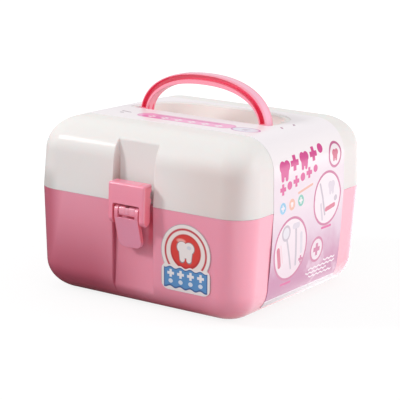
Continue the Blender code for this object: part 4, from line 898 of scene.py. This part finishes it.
tongue = show("latch_tongue", lever, latch_pink, "lever", ["latch_lever"], sharp=28)
soften(tongue, 0.0010, 4)


# Card sleeve: laminated card printed in lavender and violet-pink, a band over the lid with a D cut
# round the handle, and a flap down each end that follows the base's wall and round lower edge.
SLEEVE_FRONT = -0.0610
SLEEVE_BACK = 0.0605
SLEEVE_GAP = 0.00003
CARD = 0.0003
FLAP_FOOT = 0.0130
FLAP_LOOSE = 0.0008
MAGENTA, ROSE, PALE, SLATE = (0.62, 0.02, 0.24), (0.50, 0.08, 0.24), (0.86, 0.80, 0.84), (0.50, 0.44, 0.52)
CORAL, LEAF, SKY, CHERRY = (0.76, 0.40, 0.30), (0.16, 0.50, 0.42), (0.22, 0.52, 0.76), (0.58, 0.08, 0.18)

printed, place = start_finish("sleeve_card")
along_x, along_y, height = split(place)
on_end, on_top = (along_y, height), (along_x, along_y)


def disc(middle, radii, on=on_end):
    """Distance from a spot as a share of its radii: 1 on its edge."""
    return (((on[0] - middle[0]) / radii[0]) ** 2 + ((on[1] - middle[1]) / radii[1]) ** 2) ** 0.5


def spot(middle, radii, on=on_end, soft=0.03):
    """A filled round."""
    return ramp(disc(middle, radii, on), 1 + soft, 1 - soft)


def ring(middle, radii, width, on=on_end):
    """A round line, its width a share of the radii."""
    return ramp(abs(disc(middle, radii, on) - 1), width * 1.25, width * 0.75)


def cross(middle, size, arm, on=on_end):
    """A plump plus sign."""
    side, rise = abs(on[0] - middle[0]), abs(on[1] - middle[1])
    longer, shorter = side.math("MAXIMUM", rise), side.math("MINIMUM", rise)
    return ramp(longer, size * 1.05, size * 0.95) * ramp(shorter, arm * 1.12, arm * 0.88)


def stroke(start, finish, radius, on=on_end):
    """A round-ended line between two points."""
    run = (finish[0] - start[0], finish[1] - start[1])
    share = ((on[0] - start[0]) * run[0] + (on[1] - start[1]) * run[1]) / (run[0] ** 2 + run[1] ** 2)
    share = share.math("MINIMUM", 1.0).math("MAXIMUM", 0.0)
    off = ((on[0] - start[0] - share * run[0]) ** 2 + (on[1] - start[1] - share * run[1]) ** 2) ** 0.5
    return ramp(off, radius * 1.1, radius * 0.9)


def tooth(middle, size, on=on_end):
    """A plump plain tooth: a crown of two lobes on a short body with two stub roots."""
    x, y = middle
    shape = spot((x, y - size * 0.05), (size * 0.62, size * 0.60), on)
    for side in (-size, size):
        lobe = spot((x + side * 0.38, y + size * 0.34), (size * 0.56, size * 0.54), on)
        root = stroke((x + side * 0.46, y), (x + side * 0.36, y - size * 0.78), size * 0.27, on)
        shape = shape.math("MAXIMUM", lobe).math("MAXIMUM", root)
    return shape


def print_marks(paint, marks):
    """Prints each mark over the paint in its own colour, in turn."""
    for mark, colour in marks:
        paint = tint(paint, mark, colour)
    return paint


haze = noise(place, 34.0, 3.0)
paint = print_marks((0.95, 0.91, 0.945, 1), (
    (ramp(height, 0.152, 0.140), (0.93, 0.90, 0.92)), (ramp(height, 0.136, 0.112), (0.79, 0.70, 0.77)),
    (ramp(height, 0.098, 0.056), (0.70, 0.54, 0.66)),
    (ramp(height + (haze - 0.5) * 0.05, 0.070, 0.028), (0.48, 0.14, 0.32)),
    (ramp(haze, 0.56, 0.66) * ramp(height, 0.058, 0.040) * 0.5, (0.84, 0.66, 0.78)),
))
for middle, radius in (
    ((-0.029, 0.056), 0.0270), ((0.031, 0.090), 0.0235), ((0.044, 0.127), 0.0105), ((0.018, 0.046), 0.0105),
):
    radii = (radius, radius)
    paint = tint(paint, spot(middle, radii) * 0.8, PALE)
    paint = tint(paint, ring(middle, radii, 0.0011 / radius), ROSE)
paint = print_marks(paint, (
    (tooth((-0.043, 0.126), 0.0092), MAGENTA), (cross((-0.0265, 0.130), 0.0066, 0.0025), MAGENTA),
    (tooth((-0.010, 0.130), 0.0080), MAGENTA), (cross((0.006, 0.133), 0.0060, 0.0023), MAGENTA),
    (spot((0.019, 0.136), (0.0044, 0.0040)), MAGENTA), (cross((-0.046, 0.110), 0.0048, 0.0018), MAGENTA),
    (spot((-0.035, 0.112), (0.0040, 0.0036)), MAGENTA), (cross((-0.024, 0.114), 0.0048, 0.0018), MAGENTA),
    (spot((-0.013, 0.116), (0.0040, 0.0036)), MAGENTA), (cross((-0.002, 0.118), 0.0048, 0.0018), MAGENTA),
    (spot((0.009, 0.120), (0.0036, 0.0033)), MAGENTA),
    (stroke((-0.020, 0.103), (0.004, 0.107), 0.0010), CORAL),
    (spot((-0.046, 0.094), (0.0050, 0.0050)), SKY), (spot((-0.031, 0.095), (0.0050, 0.0050)), CORAL),
    (spot((-0.016, 0.096), (0.0050, 0.0050)), LEAF), (cross((-0.046, 0.094), 0.0028, 0.0009), PALE),
    (tooth((-0.031, 0.095), 0.0024), PALE), (cross((-0.016, 0.096), 0.0028, 0.0009), PALE),
    (tooth((0.044, 0.127), 0.0056), CHERRY), (ring((-0.038, 0.071), (0.0060, 0.0060), 0.18), SLATE),
    (spot((-0.038, 0.071), (0.0049, 0.0049)), (0.72, 0.72, 0.78)),
    (stroke((-0.036, 0.064), (-0.026, 0.038), 0.0012), SLATE),
    (stroke((-0.022, 0.075), (-0.018, 0.040), 0.0015), SLATE),
    (stroke((-0.025, 0.075), (-0.018, 0.075), 0.0026), (0.64, 0.60, 0.68)),
    (stroke((-0.050, 0.058), (-0.046, 0.044), 0.0026), CHERRY),
    (stroke((-0.046, 0.061), (-0.041, 0.046), 0.0011), (0.80, 0.62, 0.68)),
    (stroke((-0.012, 0.066), (-0.010, 0.050), 0.0020), (0.66, 0.62, 0.70)),
    (cross((-0.010, 0.043), 0.0034, 0.0012), ROSE), (stroke((0.018, 0.104), (0.028, 0.076), 0.0013), SLATE),
    (tooth((0.038, 0.099), 0.0064), (0.66, 0.60, 0.68)),
    (stroke((0.030, 0.080), (0.044, 0.082), 0.0021), CHERRY),
    (stroke((0.020, 0.086), (0.024, 0.072), 0.0014), (0.60, 0.54, 0.62)),
    (spot((0.046, 0.088), (0.0028, 0.0028)), SLATE), (cross((0.018, 0.046), 0.0056, 0.0020), ROSE),
    (stroke((0.024, 0.064), (0.040, 0.064), 0.0011), MAGENTA),
    (stroke((-0.040, 0.0255), (-0.024, 0.0255), 0.0010), MAGENTA),
))
for row, (near, far) in enumerate(((0.032, 0.054), (0.006, 0.054), (0.002, 0.040), (0.008, 0.050))):
    ripple = (along_y * 900 + row).math("SINE") * 0.0005 + height
    line = ramp(abs(ripple - 0.0330 + row * 0.0036), 0.0009, 0.0005)
    line = line * ramp(along_y, near, near + 0.001) * ramp(along_y, far, far - 0.001)
    paint = tint(paint, line, (0.88, 0.80, 0.86))
top = ramp(height, 0.1540, 0.1543)
paint = print_marks(paint, (
    (ramp(height, 0.0152, 0.0150), (0.80, 0.74, 0.80)), (ramp(height, 0.0136, 0.0134), (0.58, 0.54, 0.58)),
    *((top * mark, colour) for mark, colour in (
        (stroke((-0.036, -0.037), (0.044, -0.037), 0.0098, on_top), (0.78, 0.22, 0.48)),
        (stroke((-0.036, -0.037), (0.044, -0.037), 0.0088, on_top), (0.95, 0.42, 0.70)),
        (stroke((-0.034, -0.041), (-0.016, -0.041), 0.0052, on_top), (0.80, 0.20, 0.52)),
        (stroke((-0.030, -0.032), (0.036, -0.032), 0.0012, on_top), (0.70, 0.14, 0.40)),
        (spot((0.067, -0.040), (0.0130, 0.0090), on_top), (0.80, 0.82, 0.92)),
        (ring((0.067, -0.040), (0.0130, 0.0090), 0.07, on_top), (0.62, 0.30, 0.58)),
        (tooth((0.067, -0.040), 0.0040, on_top), (0.66, 0.60, 0.72)),
        (stroke((-0.066, -0.034), (-0.056, -0.036), 0.0011, on_top), (0.42, 0.34, 0.40)),
        (spot((-0.062, -0.041), (0.0022, 0.0018), on_top), (0.42, 0.34, 0.40)),
        (stroke((0.083, -0.008), (0.086, -0.010), 0.0011, on_top), (0.50, 0.20, 0.34)),
        (stroke((0.084, 0.012), (0.087, 0.009), 0.0013, on_top), (0.42, 0.22, 0.34)),
    )),
    *(
        (top * cross((middle, -0.040), 0.0040, 0.0014, on_top), (0.97, 0.86, 0.93))
        for middle in (-0.030, -0.016, -0.002, 0.012, 0.026, 0.040)
    ),
))

fibre, sag = noise(place, 380.0, 3.0), noise(place, 14.0, 1.0)
worn = ramp(noise(place, 160.0, 6.0, 0.8), 0.66, 0.80, "LINEAR")
surfaced(printed, place.node("BsdfPrincipled", inputs={
    "Base Color": tint(paint, worn * 0.3, (0.86, 0.82, 0.86)),
    "Roughness": (fibre - 0.5) * 0.12 + worn * 0.2 + 0.36,
    "Normal": dented(fibre * 0.10 + sag * 1.6, 0.25, 0.0008), "Coat Weight": 0.25, "Coat Roughness": 0.18,
}))


def end_face(heights):
    """(x, z) down or up the case's end wall, a hair off its face."""
    return [(CASE_WIDTH / 2 - wall_inset(z) + SLEEVE_GAP, z) for z in heights]


def lay_card(mesh, section, side, hand):
    """A sheet as wide as the sleeve along a bent section; gives back its rows of points."""
    rows = [SLEEVE_FRONT + (SLEEVE_BACK - SLEEVE_FRONT) * step / 16 for step in range(17)]
    grid = [[mesh.verts.new((side * x, y, z)) for x, z in section] for y in rows]
    for near, far in zip(grid, grid[1:]):
        for index in range(len(section) - 1):
            corners = (near[index], near[index + 1], far[index + 1], far[index])
            mesh.faces.new(corners[::hand])
    return grid


def thicken(name, mesh, replaced):
    """Gives a card sheet its thickness and sharp cut edges."""
    piece = show(name, mesh, printed, "sleeve", replaced)
    sides = [key for face in piece.data.polygons for key in face.edge_keys]
    for edge in piece.data.edges:
        edge.use_edge_sharp = sides.count(edge.key) == 1
    stock = piece.modifiers.new("card_stock", "SOLIDIFY")
    stock.thickness = CARD
    stock.offset = 1
    piece.modifiers.move(1, 0)
    return piece


band = bmesh.new()
flat_half = CASE_WIDTH / 2 - wall_inset(CASE_HEIGHT - TOP_ROUND) - TOP_ROUND
bend = TOP_ROUND + SLEEVE_GAP
section = [
    (flat_half + bend * math.sin(math.radians(a)), CASE_HEIGHT - TOP_ROUND + bend * math.cos(math.radians(a)))
    for a in range(0, 91, 5)
] + end_face((0.118, 0.108, 0.099, PARTING))
left_edge, right_edge = ([row[0] for row in lay_card(band, section, side, side)] for side in (-1, 1))
outside = left_edge[::-1] + right_edge
top_z = CASE_HEIGHT + SLEEVE_GAP
cut_ring = [band.verts.new((x, y, top_z)) for x, y in d_outline(0.076, 0.054, -0.011)]
pairs = [(loop[index - 1], loop[index]) for loop in (outside, cut_ring) for index in range(len(loop))]
edges = [band.edges.get(pair) or band.edges.new(pair) for pair in pairs]
bmesh.ops.triangle_fill(band, use_beauty=True, use_dissolve=False, edges=edges)
thicken("sleeve_band", band, ["card_sleeve"])

section = [
    (CASE_WIDTH / 2 - inset + SLEEVE_GAP, z)
    for inset, z in round_edge(0, BOTTOM_ROUND, 0, 24) if z > FLAP_FOOT - 0.004
] + end_face((0.040, 0.050, 0.060, 0.070, 0.082, PARTING))
section = [
    (x + FLAP_LOOSE * max(math.sin(math.pi * (z - 0.018) / (PARTING - 0.018)), 0) ** 2, z) for x, z in section
]
for name, side in (("left", -1), ("right", 1)):
    flap = bmesh.new()
    lay_card(flap, section, side, -side)
    piece = thicken(f"printed_flap_{name}", flap, [f"sleeve_flap_{name}"])
    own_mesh(piece)


# Front sticker: a round badge on a wide foot, printed film with a matt face, cut out with a narrow
# edge and stuck on the base's front wall, right of the latch.
BADGE = (0.0535, 0.0580)
FOOT_MARKS = (-0.0150, -0.0050, 0.0050, 0.0150)

badge_paper, place = start_finish("sticker_paper")
across, upward = on_badge = split(place, "XZ")
off_middle = abs(across - BADGE[0])
wavy = (across * 620).math("SINE") * 0.0008 + upward


def badge_spot(side, rise, radii, soft=0.03):
    """A filled round, placed from the badge's middle."""
    return spot((BADGE[0] + side, BADGE[1] + rise), radii, on_badge, soft)


def foot_panel(half, low, high):
    """The badge's foot: straight sides, wavy edges."""
    sides = ramp(off_middle, half + 0.0002, half - 0.0001)
    return sides * ramp(wavy, high + 0.0003, high) * ramp(wavy, low, low + 0.0003)


neck = off_middle / 0.0246 + ramp(upward, 0.0460, 0.0474)
edge = disc(BADGE, (0.0248, 0.0248), on_badge).math("MINIMUM", neck)
paint = print_marks((0.90, 0.87, 0.84, 1), (
    (badge_spot(0, 0, (0.0212, 0.0212)), (0.60, 0.06, 0.08)),
    (badge_spot(0, 0, (0.0194, 0.0194)), (0.90, 0.84, 0.80)),
    (badge_spot(0, 0.0010, (0.0152, 0.0152)), (0.50, 0.04, 0.05)),
    (badge_spot(0, 0.0018, (0.0146, 0.0140), 0.10), (0.74, 0.07, 0.06)),
    (badge_spot(-0.0045, 0.0100, (0.0042, 0.0018), 0.4), (0.92, 0.45, 0.40)),
    (tooth((BADGE[0], BADGE[1] + 0.0012), 0.0098, on_badge), (0.36, 0.30, 0.32)),
    (tooth((BADGE[0], BADGE[1] + 0.0014), 0.0090, on_badge), (0.90, 0.88, 0.86)),
    (badge_spot(0.0035, 0.0050, (0.0022, 0.0016), 0.3), (0.70, 0.74, 0.80)),
    (ramp(wavy, 0.0452, 0.0449) * ramp(off_middle, 0.0236, 0.0234), (0.88, 0.86, 0.86)),
    (foot_panel(0.0218, 0.0262, 0.0435), (0.07, 0.15, 0.36)),
    (foot_panel(0.0210, 0.0276, 0.0427), (0.12, 0.32, 0.62)),
    *((cross((BADGE[0] + x, 0.0384), 0.0034, 0.0012, on_badge), (0.86, 0.88, 0.90)) for x in FOOT_MARKS),
    *((spot((BADGE[0] + x, 0.0316), (0.0022, 0.0019), on_badge), (0.70, 0.80, 0.90)) for x in FOOT_MARKS),
    (ramp(edge, 0.965, 0.985), (0.55, 0.50, 0.52)),
))
film_grain = noise(place, 500.0, 2.0)
surfaced(badge_paper, place.node("BsdfPrincipled", inputs={
    "Base Color": paint, "Roughness": film_grain * 0.14 + 0.26, "Normal": dented(film_grain, 0.1, 0.0003),
    "Coat Weight": 0.3,
}))
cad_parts["front_sticker"].data.materials[0] = badge_paper


# Pins and toys: steel wire pins, a toothed jaw model in glossy red and white, and the small moulded
# instruments that lie in the tub. Each toy is moulded in one colour, with its fittings pushed in.
def metal(name, colour, roughness, grain):
    """Drawn or plated metal, with fine lengthwise scratches and a few finger marks."""
    material, place = start_finish(name)
    lines = noise(place.node("Mapping", inputs={"Vector": place, "Scale": grain}), 1.0, 4.0, 0.7)
    marks = noise(place, 90.0, 3.0)
    return surfaced(material, place.node("BsdfPrincipled", inputs={
        "Base Color": toned((*colour, 1), (lines - 0.5) * 0.10 + 1), "Metallic": 1.0,
        "Roughness": (lines - 0.5) * 0.16 + marks * 0.10 + roughness, "Normal": dented(lines, 0.12, 0.0002),
    }))


steel = metal("pin_steel", (0.62, 0.62, 0.64), 0.26, (40.0, 900.0, 900.0))
silver = metal("mirror_silver", (0.86, 0.87, 0.88), 0.04, (60.0, 60.0, 60.0))
gum = moulded("gum_red", (0.72, 0.10, 0.14), roughness=0.22, glow=0.2)
enamel = moulded("tooth_white", (0.90, 0.89, 0.85), roughness=0.24, mottle=0.01, glow=0.2)
clear = moulded("syringe_clear", (0.80, 0.86, 0.90), roughness=0.20, mottle=0.01, see_through=0.75)
toy_pink = moulded("toy_pink", (0.88, 0.34, 0.50), roughness=0.28)
toy_blue = moulded("toy_blue", (0.22, 0.50, 0.76), roughness=0.28)
toy_grey = moulded("toy_grey", (0.66, 0.68, 0.71), roughness=0.30)
rubber = moulded("seal_rubber", (0.10, 0.10, 0.11), roughness=0.62, coat=0.0)
for names, finish in (
    (("hinge_pin_left", "hinge_pin_right", "lever_pin", "jaw_axle", "forceps_rivet"), steel),
    (("mirror_disc",), silver), (("lower_gum", "upper_gum"), gum),
    (("lower_teeth", "upper_teeth", "brush_tufts"), enamel), (("syringe_barrel",), clear),
    (("syringe_plunger",), toy_pink), (("toothbrush",), toy_blue), (("plunger_seal",), rubber),
    (("mirror_handle", "probe", "forceps_lower_half", "forceps_upper_half"), toy_grey),
):
    for name in names:
        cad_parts[name].data.materials[0] = finish
